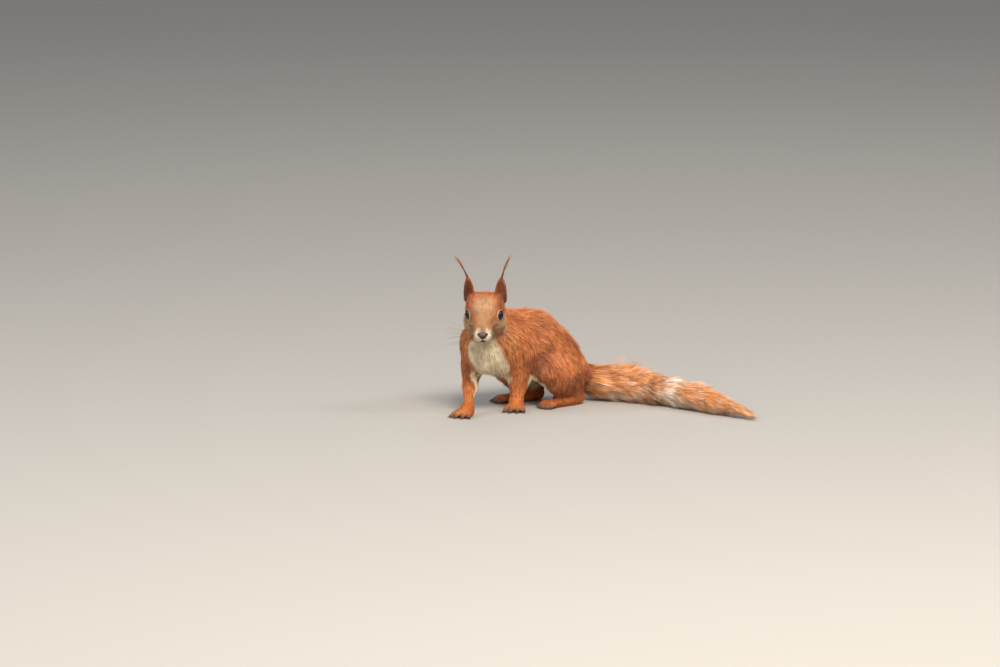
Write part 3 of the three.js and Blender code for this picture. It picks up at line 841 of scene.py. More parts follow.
def buildTufts(name, curves, ways, widths, roots, masks, replaced=(), softness=0.62):
    # curves has the middle of each ring of a tuft, and last its tip
    count, rings = len(curves), curves.shape[1] - 1
    along = unit(np.gradient(curves, axis=1))
    across = unit(np.cross(ways[:, None, :], along))
    rise = np.cross(along, across)
    taper = np.sqrt(1 - np.linspace(0, 1, rings + 1)[:-1] ** 1.5)
    half = widths[:, None, None] * taper[None, :, None] / 2
    ring = [curves[:, :-1] - across[:, :-1] * half, curves[:, :-1] + across[:, :-1] * half,
            curves[:, :-1] + rise[:, :-1] * half * 1.1]
    places = np.concatenate([np.stack(ring, axis=2).reshape(count, rings * 3, 3), curves[:, -1:]], axis=1)
    faces = [(0, 2, 1)]
    for low in range(0, rings * 3 - 3, 3):
        for here, after in ((0, 1), (1, 2), (2, 0)):
            faces.append((low + here, low + after, low + after + 3))
            faces.append((low + here, low + after + 3, low + here + 3))
    last = rings * 3 - 3
    faces += [(last, last + 1, last + 3), (last + 1, last + 2, last + 3), (last + 2, last, last + 3)]
    size = rings * 3 + 1
    index = (np.array(faces)[None] + (np.arange(count) * size)[:, None, None]).reshape(-1, 3)
    mesh = bpy.data.meshes.new(name)
    mesh.vertices.add(count * size)
    setPoints(mesh, places.reshape(-1, 3))
    mesh.loops.add(index.size)
    mesh.loops.foreach_set("vertex_index", index.ravel().astype(np.int32))
    mesh.polygons.add(len(index))
    mesh.polygons.foreach_set("loop_start", np.arange(0, index.size, 3, dtype=np.int32))
    mesh.update(calc_edges=True)
    shadeSmooth(mesh)
    outward = np.stack([-across[:, :-1], across[:, :-1], rise[:, :-1]], axis=2).reshape(count, rings * 3, 3)
    outward = np.concatenate([outward, rise[:, -1:]], axis=1)
    shading = unit(between(outward, np.repeat(ways[:, None, :], size, axis=1), softness))
    mesh.normals_split_custom_set_from_vertices(shading.reshape(-1, 3).astype(np.float32))
    step = np.concatenate([np.repeat(np.linspace(0, 1, rings + 1)[:-1], 3), [1.0]])
    addValues(mesh, {"tip": np.tile(step, count)})
    addValues(mesh, {mask: np.repeat(value, size) for mask, value in masks.items()})
    patch = np.stack([np.concatenate([np.tile([-1, 1, 0], rings), [0]]), step * 2 - 1], axis=1) * patchHalf
    spots = np.clip(roots["map"][:, None, :] + patch[None], 0, 1).reshape(-1, 2)
    mesh.uv_layers.new(name=bakeMap).data.foreach_set("uv", spots[index.ravel()].astype(np.float32).ravel())
    mesh.materials.append(hair)
    return addPiece(name, mesh, replaced)


def tuftMasks(roots, leaders):
    # the tufts of one lock are nearly alike, and near an edge between two colours they take one or the other
    draw = 0.65 * chance.random(roots["count"])[leaders] + 0.35 * chance.random(roots["count"])
    mixed = between(0.5, 0.2, atRoots(roots, skin["on head"]))
    masks = {name: eased(0.15, 0.85, atRoots(roots, skin[name]) + (draw - 0.5) * mixed)
             for name in palette if name != "rust"}
    masks["chance"] = draw
    return masks


def nearestLocks(points, size):
    # the tufts whose roots lie near each other share one lock
    every = max(int(size), 2)
    leaders = np.arange(0, len(points), every)
    tree = KDTree(len(leaders))
    for leader in leaders:
        tree.insert(points[leader], int(leader))
    tree.balance()
    return np.array([tree.find(point)[1] for point in points])


coatParts = {  # name of the piece and the parts that it covers
    "coatHead": ["head"], "coatEars": ["ear"], "coatNeck": ["neck"], "coatChest": ["chest"],
    "coatBelly": ["belly"], "coatRump": ["rump"], "coatArms": ["upperarm", "forearm"],
    "coatThighs": ["thigh"], "coatShanks": ["shank"], "coatPaws": ["forepaw", "hindpaw"],
}
coatForm = {
    "sunk": 0.3,  # mm that a root lies under the skin
    "lock": 5,  # tufts to a lock
    "shortLock": 2,  # and on the head and ears
    "stray": 0.05,  # share of the tufts that stand up
    "strayLift": 1.5,
    "longest": 1.2,  # a tuft is never longer than this share of its length
    "gather": 0.25,  # share of the way that a tip leans to its lock's own tip
    "lift": (0.74, 1.1),  # lowest and highest tip, as a share of the coat's depth
    "middle": 0.42,  # share of its length where a tuft turns to lie flat
    "bend": 0.86,  # height of a tuft there, as a share of its tip's
    "least": 0.3,  # mm of coat where the solids leave none
    "topLength": (0.82, 1.22),  # lowest and highest tufts, as a share of the length
    "topWidth": (1.12, 0.82),
    "uneven": (0.85, 1.15),  # least and most that chance makes of a length or width
    "tipFloor": 0.25,  # mm that tips and middles stay off the floor
    "middleFloor": 0.4,
    "pale": 0.5,  # how pale the highest of the longer tufts are
}


def growCoat(name, regions):
    inRegion = byRegion({region: 1.0 for region in regions}, skinOwners)
    roots = plantRoots(skin["count"] * inRegion * (1 - skin["bare"]))
    points = atRoots(roots, skinPoints)
    ways = unit(atRoots(roots, skinWays))
    lie = lieAt(roots, points, ways)
    count = roots["count"]
    top = chance.random(count)
    length = atRoots(roots, skin["length"]) * chance.uniform(*coatForm["uneven"], count)
    length = length * between(*coatForm["topLength"], top)
    width = atRoots(roots, skin["width"]) * chance.uniform(*coatForm["uneven"], count)
    width = width * between(*coatForm["topWidth"], top)
    lift = between(*coatForm["lift"], top)
    lift = lift * np.where(chance.random(count) < coatForm["stray"], coatForm["strayLift"], 1)
    tips = overSkin(points + lie * length[:, None], lift)
    middles = overSkin(points + lie * length[:, None] * coatForm["middle"], lift * coatForm["bend"])
    limit = coatForm["longest"] * np.maximum(length, 2.5)
    tips = points + (tips - points) * np.minimum(1, limit / np.linalg.norm(tips - points, axis=1))[:, None]
    leaders = nearestLocks(points, coatForm["shortLock" if name in ("coatHead", "coatEars") else "lock"])
    gather = coatForm["gather"]
    tips += (tips[leaders] - tips + (points - points[leaders]) * 0.3) * gather
    middles += (middles[leaders] - middles + (points - points[leaders]) * 0.5) * gather * 0.5
    tips[:, 2] = np.maximum(tips[:, 2], coatForm["tipFloor"])
    middles[:, 2] = np.maximum(middles[:, 2], coatForm["middleFloor"])
    curves = np.stack([points - ways * coatForm["sunk"], middles, tips], axis=1)
    masks = tuftMasks(roots, leaders)
    masks["chance"] = between(masks["chance"], top, 0.25)
    masks["chance"] = between(masks["chance"], 0.5, 0.3 * atRoots(roots, skin["on head"]))
    pale = coatForm["pale"] * eased(0.75, 0.95, top) * eased(3, 6, length) * (1 - 0.75 * masks["russetAndShade"])
    masks["amberAndHighlight"] = np.maximum(masks["amberAndHighlight"], pale)
    buildTufts(name, curves, ways, width, roots, masks, softness=0.5)
    print("coat:", name, count, "tufts")


# Materials

palette = {  # the colour of a hair near its root and at its tip
    "rust": ("#6a2b0c", "#ce713d"),
    # russet: dark red-brown fur, also used as painted shade on the flank, haunch and far foreleg
    "russetAndShade": ("#3c190b", "#8c4824"),
    "orange": ("#86420f", "#de8442"),
    # amber: pale golden hair tips, also used as painted highlights on the neck, shoulder and thigh
    "amberAndHighlight": ("#ae6e3c", "#f6b87e"),
    "grizzle": ("#80593b", "#dcb288"),
    "cream": ("#b39c74", "#f2e2c0"),
    "straw": ("#b89a80", "#fbf2e6"),
    # umber: dark brown on the nose top, toes and tail, also painted shade in the whisker beds
    "umberAndShade": ("#2f211b", "#80604c"),
    # maroon: dark ear hollows, lids and mouth, also painted shade in the folds at the arm and thigh
    "maroonAndShade": ("#40221a", "#87523a"),
}


def linear(code):
    parts = [int(code[start:start + 2], 16) / 255 for start in (1, 3, 5)]
    return (*[part / 12.92 if part <= 0.04045 else ((part + 0.055) / 1.055) ** 2.4 for part in parts], 1.0)


def addNode(tree, kind, inputs=(), **settings):
    node = tree.nodes.new(kind)
    for name, value in settings.items():
        setattr(node, name, value)
    for socket, value in dict(inputs).items():
        if isinstance(value, bpy.types.NodeSocket):
            tree.links.new(value, node.inputs[socket])
        else:
            node.inputs[socket].default_value = value
    return node


def newMaterial(name):
    material = bpy.data.materials.new(name)
    material.use_nodes = True
    material.node_tree.nodes.clear()
    return material, material.node_tree


def addSurface(tree, inputs):
    shader = addNode(tree, "ShaderNodeBsdfPrincipled", inputs)
    addNode(tree, "ShaderNodeOutputMaterial", {"Surface": shader.outputs["BSDF"]})


def hairColour(tree):
    # each colour runs from root to tip, and the masks lay one over another
    along = addNode(tree, "ShaderNodeAttribute", attribute_name="tip").outputs["Fac"]
    colour = None
    for name, (root, tip) in palette.items():
        shades = {0: along, 6: linear(root), 7: linear(tip)}
        strand = addNode(tree, "ShaderNodeMix", shades, data_type="RGBA").outputs[2]
        if colour:
            mask = addNode(tree, "ShaderNodeAttribute", attribute_name=name).outputs["Fac"]
            shades = {0: mask, 6: colour, 7: strand}
            strand = addNode(tree, "ShaderNodeMix", shades, data_type="RGBA").outputs[2]
        colour = strand
    place = addNode(tree, "ShaderNodeTexCoord").outputs["Object"]
    patches = addNode(tree, "ShaderNodeTexNoise", {"Vector": place, "Scale": 1 / (9 * mm),
                                                   "Detail": 2.0}).outputs["Fac"]
    draw = addNode(tree, "ShaderNodeAttribute", attribute_name="chance").outputs["Fac"]
    both = addNode(tree, "ShaderNodeMath", {0: patches, 1: draw}, operation="ADD").outputs[0]
    value = addNode(tree, "ShaderNodeMapRange", {"Value": both, "From Min": 0.3, "From Max": 1.7,
                                                 "To Min": 0.28, "To Max": 1.76}).outputs[0]
    warmth = addNode(tree, "ShaderNodeMapRange", {"Value": draw, "To Min": 0.494, "To Max": 0.506}).outputs[0]
    tint = {"Hue": warmth, "Value": value, "Color": colour}
    return addNode(tree, "ShaderNodeHueSaturation", tint).outputs[0]


def furMaterial():
    # squirrel hair: smooth keratin, dark at the root and bright at the tip, with a soft silky light along it
    material, tree = newMaterial("red squirrel hair")
    addSurface(tree, {"Base Color": hairColour(tree), "Roughness": 0.5, "Specular IOR Level": 0.3,
                      "IOR": 1.55, "Sheen Weight": 0.05, "Sheen Roughness": 0.4,
                      "Sheen Tint": linear("#ffe6cc")})
    return material


def hideMaterial():
    # skin with its undercoat: the same colours, matt, with a fine nap that shows as tiny bumps
    material, tree = newMaterial("hide with undercoat")
    place = addNode(tree, "ShaderNodeTexCoord").outputs["Object"]
    nap = addNode(tree, "ShaderNodeTexNoise", {"Vector": place, "Scale": 1 / (0.6 * mm),
                                               "Detail": 3.0}).outputs["Fac"]
    bump = addNode(tree, "ShaderNodeBump", {"Height": nap, "Strength": 0.6, "Distance": 0.25 * mm}).outputs[0]
    addSurface(tree, {"Base Color": hairColour(tree), "Roughness": 0.8, "Specular IOR Level": 0.2,
                      "Normal": bump})
    return material


def eyeMaterial():
    # a wet cornea over a brown iris so dark that it reads as black
    material, tree = newMaterial("wet dark eye")
    out = addNode(tree, "ShaderNodeAttribute", attribute_name="fromPupil").outputs["Fac"]
    place = addNode(tree, "ShaderNodeTexCoord").outputs["Object"]
    fibres = addNode(tree, "ShaderNodeTexNoise", {"Vector": place, "Scale": 1 / (0.8 * mm),
                                                  "Detail": 4.0}).outputs["Fac"]
    iris = addNode(tree, "ShaderNodeMix", {0: fibres, 6: linear("#060404"), 7: linear("#100a08")},
                   data_type="RGBA").outputs[2]
    pupil = addNode(tree, "ShaderNodeMapRange", {"Value": out, "From Min": 0.3, "From Max": 0.42}).outputs[0]
    colour = addNode(tree, "ShaderNodeMix", {0: pupil, 6: linear("#020202"), 7: iris},
                     data_type="RGBA").outputs[2]
    addSurface(tree, {"Base Color": colour, "Roughness": 0.08, "IOR": 1.38, "Specular IOR Level": 0.5,
                      "Coat Weight": 0.2, "Coat Roughness": 0.02})
    return material


def noseMaterial():
    # bare leathery skin with a pebbled grain, moist, with painted shade darkest inside the nostrils
    material, tree = newMaterial("nose leather")
    hole = addNode(tree, "ShaderNodeAttribute", attribute_name="nostril").outputs["Fac"]
    place = addNode(tree, "ShaderNodeTexCoord").outputs["Object"]
    grain = addNode(tree, "ShaderNodeTexVoronoi", {"Vector": place,
                                                   "Scale": 1 / (0.4 * mm)}).outputs["Distance"]
    leather = addNode(tree, "ShaderNodeMix", {0: grain, 6: linear("#685046"), 7: linear("#45332d")},
                      data_type="RGBA").outputs[2]
    inner = addNode(tree, "ShaderNodeMix", {0: hole, 6: leather, 7: linear("#231413")},
                    data_type="RGBA").outputs[2]
    below = addNode(tree, "ShaderNodeAttribute", attribute_name="lip").outputs["Fac"]
    colour = addNode(tree, "ShaderNodeMix", {0: below, 6: inner, 7: linear("#d8c0a4")},
                     data_type="RGBA").outputs[2]
    bump = addNode(tree, "ShaderNodeBump", {"Height": grain, "Strength": 0.5, "Distance": 0.1 * mm},
                   invert=True).outputs[0]
    addSurface(tree, {"Base Color": colour, "Roughness": 0.5, "IOR": 1.45, "Normal": bump})
    return material


def clawMaterial():
    # keratin horn: dark brown, mottled paler, with a fine uneven grain and a dull gloss
    material, tree = newMaterial("claw horn")
    place = addNode(tree, "ShaderNodeTexCoord").outputs["Object"]
    ridges = addNode(tree, "ShaderNodeTexNoise", {"Vector": place, "Scale": 1 / (0.5 * mm),
                                                  "Detail": 3.0}).outputs["Fac"]
    colour = addNode(tree, "ShaderNodeMix", {0: ridges, 6: linear("#1c1311"), 7: linear("#5a4640")},
                     data_type="RGBA").outputs[2]
    bump = addNode(tree, "ShaderNodeBump", {"Height": ridges, "Strength": 0.4,
                                            "Distance": 0.08 * mm}).outputs[0]
    addSurface(tree, {"Base Color": colour, "Roughness": 0.32, "IOR": 1.55, "Normal": bump})
    return material


def whiskerMaterial():
    # stiff dark bristle, thinning to a paler tip
    material, tree = newMaterial("whisker bristle")
    along = addNode(tree, "ShaderNodeAttribute", attribute_name="tip").outputs["Fac"]
    colour = addNode(tree, "ShaderNodeMix", {0: along, 6: linear("#1a1210"), 7: linear("#5b4334")},
                     data_type="RGBA").outputs[2]
    addSurface(tree, {"Base Color": colour, "Roughness": 0.35, "IOR": 1.55})
    return material


hair, hide, wetEye = furMaterial(), hideMaterial(), eyeMaterial()
leather, horn, bristle = noseMaterial(), clawMaterial(), whiskerMaterial()


# Skin's colours and the coat over it

skinPaint = {
    "longFur": 0.2,  # how far along a hair the skin's colour is taken from, under the long coat
    "shortFur": 0.75,  # and on the face, ears and feet
    "fleck": 0.35,
    "fleckSize": 1.6,  # mm
}


def paintSkin(mesh):
    bare = np.clip(1 - (skin["length"] - 1.5) / 4, 0, 1)
    values = {"tip": between(skinPaint["longFur"], skinPaint["shortFur"], bare),
              "chance": 0.5 + skinPaint["fleck"] * ripple(skinPoints, skinPaint["fleckSize"], 21)}
    values.update({name: skin[name] for name in palette if name != "rust"})
    addValues(mesh, values)
    mesh.materials.append(hide)


paintSkin(skinMesh)
for coatName, coatRegions in coatParts.items():
    growCoat(coatName, coatRegions)


# Tail: long hairs from a thin core, combed back and out to the tail's own outline

tailForm = {
    "density": 4.2,  # hairs on each square mm of the core
    "before": 13,  # mm from the tail's start where its hair begins, on the rump
    "reach": (17, 30),  # mm that a hair runs back along the tail
    "width": 0.27,
    "fill": (0.4, 1.0),  # how far out towards the outline a hair ends
    "stray": 0.2,  # how much further some locks stand out
    "shown": 0.65,  # how far along a hair its colour counts, for the markings
    "fan": 0.55,  # the lower, the sooner a hair stands out from the core
    "lock": 16,
    "gather": 0.5,
    "rings": (0, 0.28, 0.58, 0.82, 1),
    "floor": 0.25,  # mm that the lowest hairs stay off the floor
    "nearDensity": 0.5,  # of the hair on the rump, as a share of the tail's
    "past": 3,  # mm that the last hairs run past the tail's end
    "endSpread": 18,  # mm over which their ends lie
    "sway": 1.6,  # mm that a hair's tip wanders, in swells this many mm wide
    "swell": 26,
    "uneven": (0.7, 1.25),
    "paleBase": (0.28, 0.12),  # share of pale hair, and how much less on top
    "darkBase": 0.05,
    "amberAndHighlight": (0.2, 0.6),
    "chance": (0.41, 0.85),
    "partings": [(-53, 60, 22), (9, 88, 14)],  # mm, where the coat parts and pale hair shows behind
    "pale": [(0.2, 4, 6), (0.42, 13, 10)],  # how much of it, how far behind in mm, and over how many mm
    "dark": [(0.6, -8, 6), (0.5, -9, 5)],  # and the dark hair before each parting
}

tailSteps = np.concatenate([[0], np.cumsum(np.linalg.norm(np.diff(tailPath, axis=0), axis=1))])


def alongTail(marks):
    # the tail's middle and its way at marks along it, running on straight past both ends
    inside = np.clip(marks, 0, tailSteps[-1])
    places = np.stack([np.interp(inside, tailSteps, column) for column in tailPath.T], axis=1)
    slope = np.gradient(tailPath, tailSteps, axis=0)
    ways = unit(np.stack([np.interp(inside, tailSteps, column) for column in slope.T], axis=1))
    return places + ways * (marks - inside)[:, None], ways


def tailMarks(points):
    # how far along the tail each point is
    fine = np.linspace(-15, tailSteps[-1] + 10, 200)
    places, _ = alongTail(fine)
    return fine[[np.argmin(((places - point) ** 2).sum(1)) for point in points]]


def outlineTree(names):
    corners, faces = [], []
    for name in names:
        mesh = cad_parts[name].data
        faces += [[len(corners) + index for index in face.vertices] for face in mesh.polygons]
        corners += [vert.co.copy() for vert in mesh.vertices]
    return BVHTree.FromPolygons(corners, faces)


def reachTo(tree, centres, ways, far=70):
    # how far the outline is from the tail's middle, looked for from outside
    gaps = []
    for centre, way in zip(centres, ways):
        start = Vector((centre + way * far) * mm)
        hit = tree.ray_cast(start, Vector(-way))[3]
        gaps.append(1.5 if hit is None else max(far - hit / mm, 1.5))
    return np.array(gaps)


def bumps(gaps, table):
    return sum(much * np.exp(-((gaps[:, index] - centre) / wide) ** 2)
               for index, (much, centre, wide) in enumerate(table))


def growTail():
    onTail = byRegion({"tail": 1.0}, skinOwners)
    rootGap = np.linalg.norm(skinPoints - tailPath[0], axis=1)
    nearTail = byRegion({"rump": 1.0}, skinOwners) * (rootGap < tailForm["before"])
    roots = plantRoots(np.maximum(onTail, nearTail * tailForm["nearDensity"]) * tailForm["density"])
    points = atRoots(roots, skinPoints)
    count = roots["count"]
    marks = tailMarks(points)
    centres, ways = alongTail(marks)
    outward = points - centres
    outward = unit(outward - (outward * ways).sum(1)[:, None] * ways + chance.normal(size=(count, 3)) * 0.25)
    advance = chance.uniform(*tailForm["reach"], count)
    last = tailSteps[-1] + tailForm["past"] - tailForm["endSpread"] * chance.random(count) ** 1.5
    ends = np.minimum(marks + advance, last)
    endCentres, endWays = alongTail(ends)
    spread = unit(outward - (outward * endWays).sum(1)[:, None] * endWays)
    low, high = tailForm["fill"]
    fill = low + (high - low) * chance.random(count) ** 0.5
    leaders = nearestLocks(points, tailForm["lock"])
    fill *= 1 + tailForm["stray"] * np.maximum(chance.normal(size=count), 0)[leaders]
    reach = reachTo(outlineTree(tailNodes), endCentres, spread)
    reach = np.maximum(reach, 1 + 3 * chance.random(count)) * fill
    rootReach = np.linalg.norm(points - centres, axis=1) - 0.3
    curves = []
    for share in tailForm["rings"]:
        middles, runs = alongTail(between(marks, ends, share))
        side = unit(outward - (outward * runs).sum(1)[:, None] * runs)
        curves.append(middles + side * between(rootReach, reach, share ** tailForm["fan"])[:, None])
    curves = np.stack(curves, axis=1)
    steps = np.array(tailForm["rings"])[None, :, None]
    sway = np.stack([ripple(points, tailForm["swell"], seed) for seed in (31, 32, 33)], axis=1)
    curves += tailForm["sway"] * sway[:, None, :] * steps ** 2
    lean = (curves[leaders] - points[leaders][:, None, :]) - (curves - points[:, None, :])
    curves += lean * tailForm["gather"] * steps
    curves[:, :, 2] = np.maximum(curves[:, :, 2], tailForm["floor"] + 0.3 * chance.random(count)[:, None])
    masks = tuftMasks(roots, leaders)
    gaps = between(marks, ends, tailForm["shown"])[:, None] - tailMarks(np.array(tailForm["partings"], float))
    base, lessOnTop = tailForm["paleBase"]
    pale = (base - lessOnTop * spread[:, 2]) * eased(0, 15, marks) + bumps(gaps, tailForm["pale"])
    dark = tailForm["darkBase"] + bumps(gaps, tailForm["dark"])
    draws = 0.5 * chance.random(count)[leaders] + 0.5 * chance.random(count)
    masks["straw"] = eased(-0.15, 0.15, pale - draws)
    masks["umberAndShade"] = eased(-0.1, 0.1, dark - chance.random(count)) * 0.8
    least, spare = tailForm["amberAndHighlight"]
    masks["amberAndHighlight"] = least + spare * chance.random(count)
    least, spare = tailForm["chance"]
    masks["chance"] = least + spare * masks["chance"]
    masks["russetAndShade"] = masks["cream"] = masks["grizzle"] = np.zeros(count)
    widths = tailForm["width"] * chance.uniform(*tailForm["uneven"], count)
    thirds = np.searchsorted(np.quantile(marks, (1 / 3, 2 / 3)), marks)
    for third, name in enumerate(("coatTailRoot", "coatTailMiddle", "coatTailEnd")):
        chosen = thirds == third
        part = {"map": roots["map"][chosen]}
        buildTufts(name, curves[chosen], spread[chosen], widths[chosen], part,
                   {mask: value[chosen] for mask, value in masks.items()})
    print("tail:", count, "hairs")


growTail()


# Ear tufts: thin wisps that run out from the tip of each ear

earTuftForm = {"count": 64, "width": 0.22, "spread": 0.9, "stray": 1.9, "rings": (0, 0.3, 0.55, 0.8, 1)}


def spineOf(name, start, count=5):
    # the middle line of a slim solid, from the end that is nearer to start
    points = pointsOf(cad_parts[name].data)
    far = points[np.argmax(np.linalg.norm(points - start, axis=1))]
    near = points[np.argmin(np.linalg.norm(points - start, axis=1))]
    along = (points - near) @ (far - near) / ((far - near) @ (far - near))
    middles = np.array([points[abs(along - mark) <= 0.1].mean(0) for mark in np.linspace(0, 1, count)])
    middles[-1] = far
    return middles


def growEarTuft(side):
    name = "ear_tuft_" + side
    spine = spineOf(name, centreOf("ear_" + side))
    count = earTuftForm["count"]
    ends = 0.4 + 0.62 * chance.random(count) ** 0.6
    stops = np.linspace(0, 1, len(spine))
    offset = chance.normal(size=(count, 3)) * earTuftForm["spread"] * 0.5
    stray = chance.normal(size=(count, 3)) * earTuftForm["stray"] * 0.5
    curves = []
    for share in earTuftForm["rings"]:
        place = np.stack([np.interp(share * ends, stops, column) for column in spine.T], axis=1)
        curves.append(place + offset * (1 - share) + stray * share ** 2)
    curves = np.stack(curves, axis=1)
    curves[:, 0] -= unit(spine[1] - spine[0]) * 1.5
    near = np.array([skinSurface.find_nearest(Vector(point * mm))[2] for point in curves[:, 0]])
    maps = np.array([skinFaceMap(index) for index in near])
    facing = np.where(chance.random(count) < 0.5, 1, -1)[:, None]  # ridged on either side of the wisp
    ways = unit(headForward + headUp * 0.3) * facing
    masks = {"grizzle": chance.uniform(0.2, 0.9, count), "maroonAndShade": chance.uniform(0, 0.5, count),
             "chance": chance.random(count)}
    widths = np.full(count, earTuftForm["width"])
    buildTufts("earTuft" + side.title(), curves, ways, widths, {"map": maps}, masks, [name],
               softness=0)


def skinFaceMap(index):
    loops = skinMesh.polygons[index].loop_indices
    return np.mean([skinMesh.uv_layers[bakeMap].data[loop].uv for loop in loops], axis=0)


for side in sides:
    growEarTuft(side)
print("ears: tufts grown")


# Whiskers: rows on the muzzle, and a few on the brows and cheeks

whiskerForm = {
    "rows": 3, "each": 4,
    "length": (22, 38),  # mm
    "width": 0.17,
    "rings": (0, 0.2, 0.4, 0.6, 0.8, 1),
    "droop": 0.12,  # share of the length that the tip falls
}


def whiskerRoots():
    # where each whisker starts, which way it leaves and how long it is
    found = []
    for sign in sides.values():
        for row in range(whiskerForm["rows"]):
            for step in range(whiskerForm["each"]):
                start = inHead(sign * (5.2 + step * 0.9), 19 - step * 1.7, -9.5 - row * 1.9 - step * 0.3)
                way = np.array([sign * (1.0 + 0.15 * row), 0.25 - 0.2 * step, 0.22 - 0.3 * row]) @ headAxes
                share = (step + 1) / whiskerForm["each"]
                found.append((start, way, between(*whiskerForm["length"], share)))
        for step in range(3):
            start = inHead(sign * (9.5 + step * 0.5), 8.5 - step * 2.5, 7.5 - step * 0.3)
            found.append((start, np.array([sign * 0.5, 0.5 - 0.3 * step, 1.0]) @ headAxes, 14 + 3 * step))
        found.append((inHead(sign * 11, 6, -12), np.array([sign * 0.9, 0.1, -0.6]) @ headAxes, 16))
    return found


def growWhiskers():
    starts, ways, lengths = [np.array(column) for column in zip(*whiskerRoots())]
    count = len(starts)
    found = [skinSurface.find_nearest(Vector(start * mm)) for start in starts]
    starts = np.array([place for place, *_ in found]) / mm
    maps = np.array([skinFaceMap(index) for _, _, index, _ in found])
    ways = unit(ways + chance.normal(size=(count, 3)) * 0.07)
    shares = np.array(whiskerForm["rings"])[None, :, None]
    lengths = (lengths * chance.uniform(0.85, 1.1, count))[:, None, None]
    back = -headForward * 0.1 - [0, 0, whiskerForm["droop"]]
    curves = starts[:, None] - ways[:, None] * 0.5 + ways[:, None] * lengths * shares
    curves += back * lengths * shares ** 2
    widths = np.full(count, whiskerForm["width"])
    across = unit(np.cross(ways, headForward))
    piece = buildTufts("whiskers", curves, across, widths, {"map": maps}, {}, softness=0.2)
    piece.data.materials.clear()
    piece.data.materials.append(bristle)
    print("whiskers:", count)


growWhiskers()


# Eyes: a ball with a slight bulge of the cornea, its pole on the gaze

eyeForm = {
    "rings": 28, "segments": 40,
    "sunk": 0.1,  # mm that the ball is smaller than its solid
    "bulge": 0.25,  # mm of the cornea
    "bulgeReach": 38,  # degrees from the gaze
}


def buildEye(side):
    form = bmesh.new()
    bmesh.ops.create_uvsphere(form, u_segments=eyeForm["segments"], v_segments=eyeForm["rings"],
                              radius=eyeRadius * mm)
    turn = Vector(gazes[side]).to_track_quat("Z", "Y").to_matrix().to_4x4()
    place = Matrix.Translation(Vector(eyeCentres[side] * mm))
    bmesh.ops.transform(form, matrix=place @ turn, verts=form.verts)
    mesh = meshFrom(form, "eye")
    places = pointsOf(mesh)
    angle = angleFromGaze(places, side)
    bulge = eyeForm["bulge"] * (1 - eased(0, eyeForm["bulgeReach"], angle))
    setPoints(mesh, places + unit(places - eyeCentres[side]) * (bulge - eyeForm["sunk"])[:, None])
    addValues(mesh, {"fromPupil": angle / 90})
    shadeSmooth(mesh)
    mesh.materials.append(wetEye)
    addPiece("eye" + side.title(), mesh, ["eye_" + side])


for side in sides:
    buildEye(side)


# Nose: a bare pad with comma nostrils and a groove down its middle

noseForm = {
    "size": (5.3, 2.9, 3.4),  # mm, half its width, length and height
    "nostril": [(0, -2.1), (1.4, -1.9), (2.8, -0.5), (4.1, 1), (4.9, 2)],  # mm aside and up, along the slit
    "slit": 1,  # mm, how wide a nostril is
    "depth": 0.9,
    "groove": 0.45,  # mm, how deep, and how wide
    "grooveWide": 0.32,
    "topWider": 0.16,
    "tilt": 12,  # degrees
}


def buildNose():
    form = bmesh.new()
    bmesh.ops.create_uvsphere(form, u_segments=64, v_segments=44, radius=1)
    mesh = meshFrom(form, "nose")
    places = pointsOf(mesh) * mm
    half = np.array(noseForm["size"])
    flat = places * half
    # the pad is wider across its top than at its foot
    flat[:, 0] *= 1 + noseForm["topWider"] * places[:, 2]
    slits = []
    for sign in sides.values():
        line = [np.array((sign * left, 0, up)) for left, up in noseForm["nostril"]]
        slits += runsOf(line)
    front = flat * [1, 0, 1]
    facing = eased(-0.1, 0.3, places[:, 1])
    hole = np.exp(-(nearestStroke(front, slits) / noseForm["slit"]) ** 2) * facing
    groove = np.exp(-(front[:, 0] / noseForm["grooveWide"]) ** 2)
    groove = groove * (1 - eased(-1.2, 0.4, front[:, 2])) * facing
    flat[:, 1] -= hole * noseForm["depth"] + groove * noseForm["groove"]
    tilt = np.array(Matrix.Rotation(math.radians(noseForm["tilt"]), 3, "X"))
    setPoints(mesh, noseMiddle + (flat @ tilt.T) @ headAxes)
    low = 1 - eased(-2.4, 2, front[:, 2])
    # painted shade in the nostrils and the groove, and the front of the pad darker towards its foot
    dark = np.clip(hole * 1.25 + groove * 0.5 + low * 0.85 * facing, 0, 1)
    aside, rise = np.array(noseForm["nostril"]).T
    lip = eased(0.55, 1.2, np.interp(abs(front[:, 0]), aside, rise) - front[:, 2])
    addValues(mesh, {"nostril": dark, "lip": lip})
    shadeSmooth(mesh)
    mesh.materials.append(leather)
    addPiece("nosePad", mesh, ["nose"])


buildNose()


# Claws: smooth copies of the solids, set back into the hair of the toes

clawForm = {"back": 1.2, "larger": 1.12}  # mm, and a share


def clawCopy(name):
    form = mergedCopy(name, 0)
    middle = Vector(meanOf(name) * mm)
    back = Vector((meanOf(pawOf(name)) - meanOf(name)) * [1, 1, 0]).normalized() * clawForm["back"] * mm
    for vert in form.verts:
        vert.co = middle + back + (vert.co - middle) * clawForm["larger"]
        vert.co.z = max(vert.co.z, 0)
    return form


def buildClaws():
    names = [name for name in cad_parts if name.startswith("claw_")]
    mesh = joined([clawCopy(name) for name in names])
    mesh.name = "claws"
    shadeSmooth(mesh)
    mesh.materials.append(horn)
    piece = addPiece("claws", mesh, names)
    smooth = piece.modifiers.new("round", "SUBSURF")
    smooth.levels = smooth.render_levels = 2
    print("claws:", len(names))


buildClaws()


# Floor, light and camera

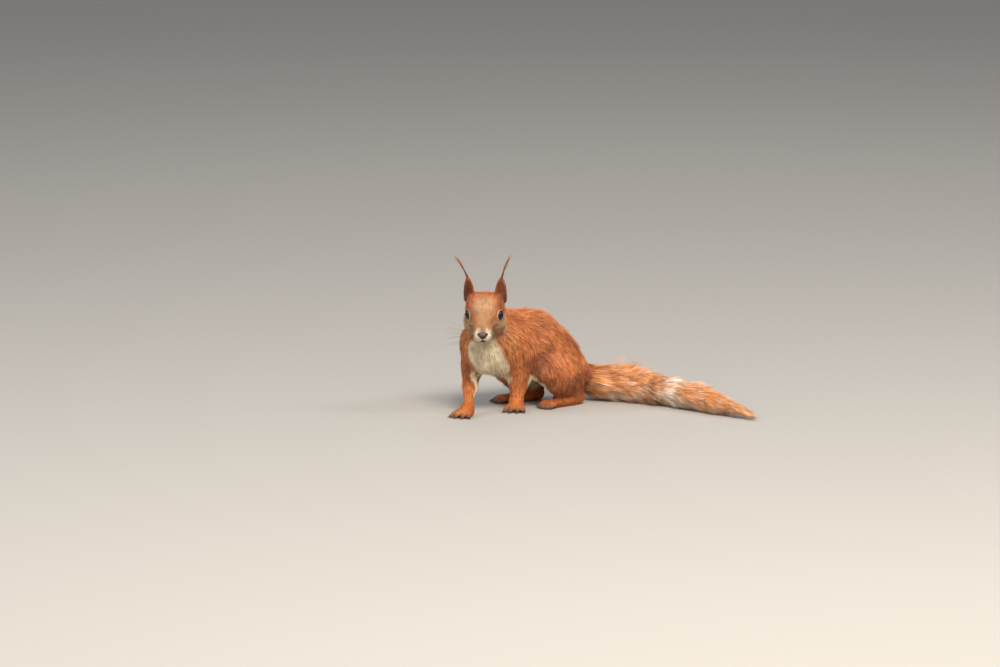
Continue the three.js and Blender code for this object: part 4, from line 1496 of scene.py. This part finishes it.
studio = {
    "floor": 9.6,  # m from its middle to a side
    "sky": 0.38,
    "lights": {  # degrees round and up, m away, m across, watts, colour
        "key": (62, 46, 2.6, 1.2, 84, "#fff4e6"),
        "fill": (12, 14, 3, 2.4, 27, "#f8f6f2"),
        "rim": (215, 50, 2.8, 1.6, 11, "#fff8f0"),
        "window": (118, 38, 2.6, 0.55, 14, "#f6faff"),  # these two light the top of each eye
        "skylight": (-30, 38, 2.6, 0.55, 14, "#f6faff"),
    },
    "target": (-76.61, -42.84, 73.1),  # mm
    "camera": (45, 9, 5.111),  # degrees round and up, and m away
    "lens": 200, "film": 36, "clip": (0.1, 60),
}


def buildFloor():
    form = bmesh.new()
    bmesh.ops.create_grid(form, x_segments=2, y_segments=2, size=studio["floor"])
    mesh = meshFrom(form, "floor")
    material, tree = newMaterial("matt painted board")
    addSurface(tree, {"Base Color": linear("#aaa7a2"), "Roughness": 0.9})
    mesh.materials.append(material)
    floor = linked("floor", mesh)


def aim(thing, azimuth, elevation, distance):
    # stands a light or the camera off, looking at the target
    turn, rise = math.radians(azimuth), math.radians(elevation)
    back = Vector((math.sin(turn) * math.cos(rise), -math.cos(turn) * math.cos(rise), math.sin(rise)))
    thing.location = Vector(studio["target"]) * mm + back * distance
    thing.rotation_euler = (-back).to_track_quat("-Z", "Y").to_euler()


def addSoftLight(name, azimuth, elevation, distance, size, power, colour):
    lamp = bpy.data.lights.new(name, "AREA")
    lamp.shape, lamp.size, lamp.energy, lamp.color = "DISK", size, power, linear(colour)[:3]
    aim(linked(name, lamp), azimuth, elevation, distance)


def buildStudio():
    scene = bpy.context.scene
    scene.view_settings.view_transform = "Standard"
    world = bpy.data.worlds.new("studio")
    world.use_nodes = True
    sky = world.node_tree.nodes["Background"].inputs
    sky["Color"].default_value, sky["Strength"].default_value = linear("#f2f5fa"), studio["sky"]
    scene.world = world
    for name, light in studio["lights"].items():
        addSoftLight(name, *light)
    camera = linked("camera", bpy.data.cameras.new("camera"))
    aim(camera, *studio["camera"])
    camera.data.lens, camera.data.sensor_width = studio["lens"], studio["film"]
    camera.data.clip_start, camera.data.clip_end = studio["clip"]
    scene.camera = camera


buildFloor()
buildStudio()
print("studio: lit")
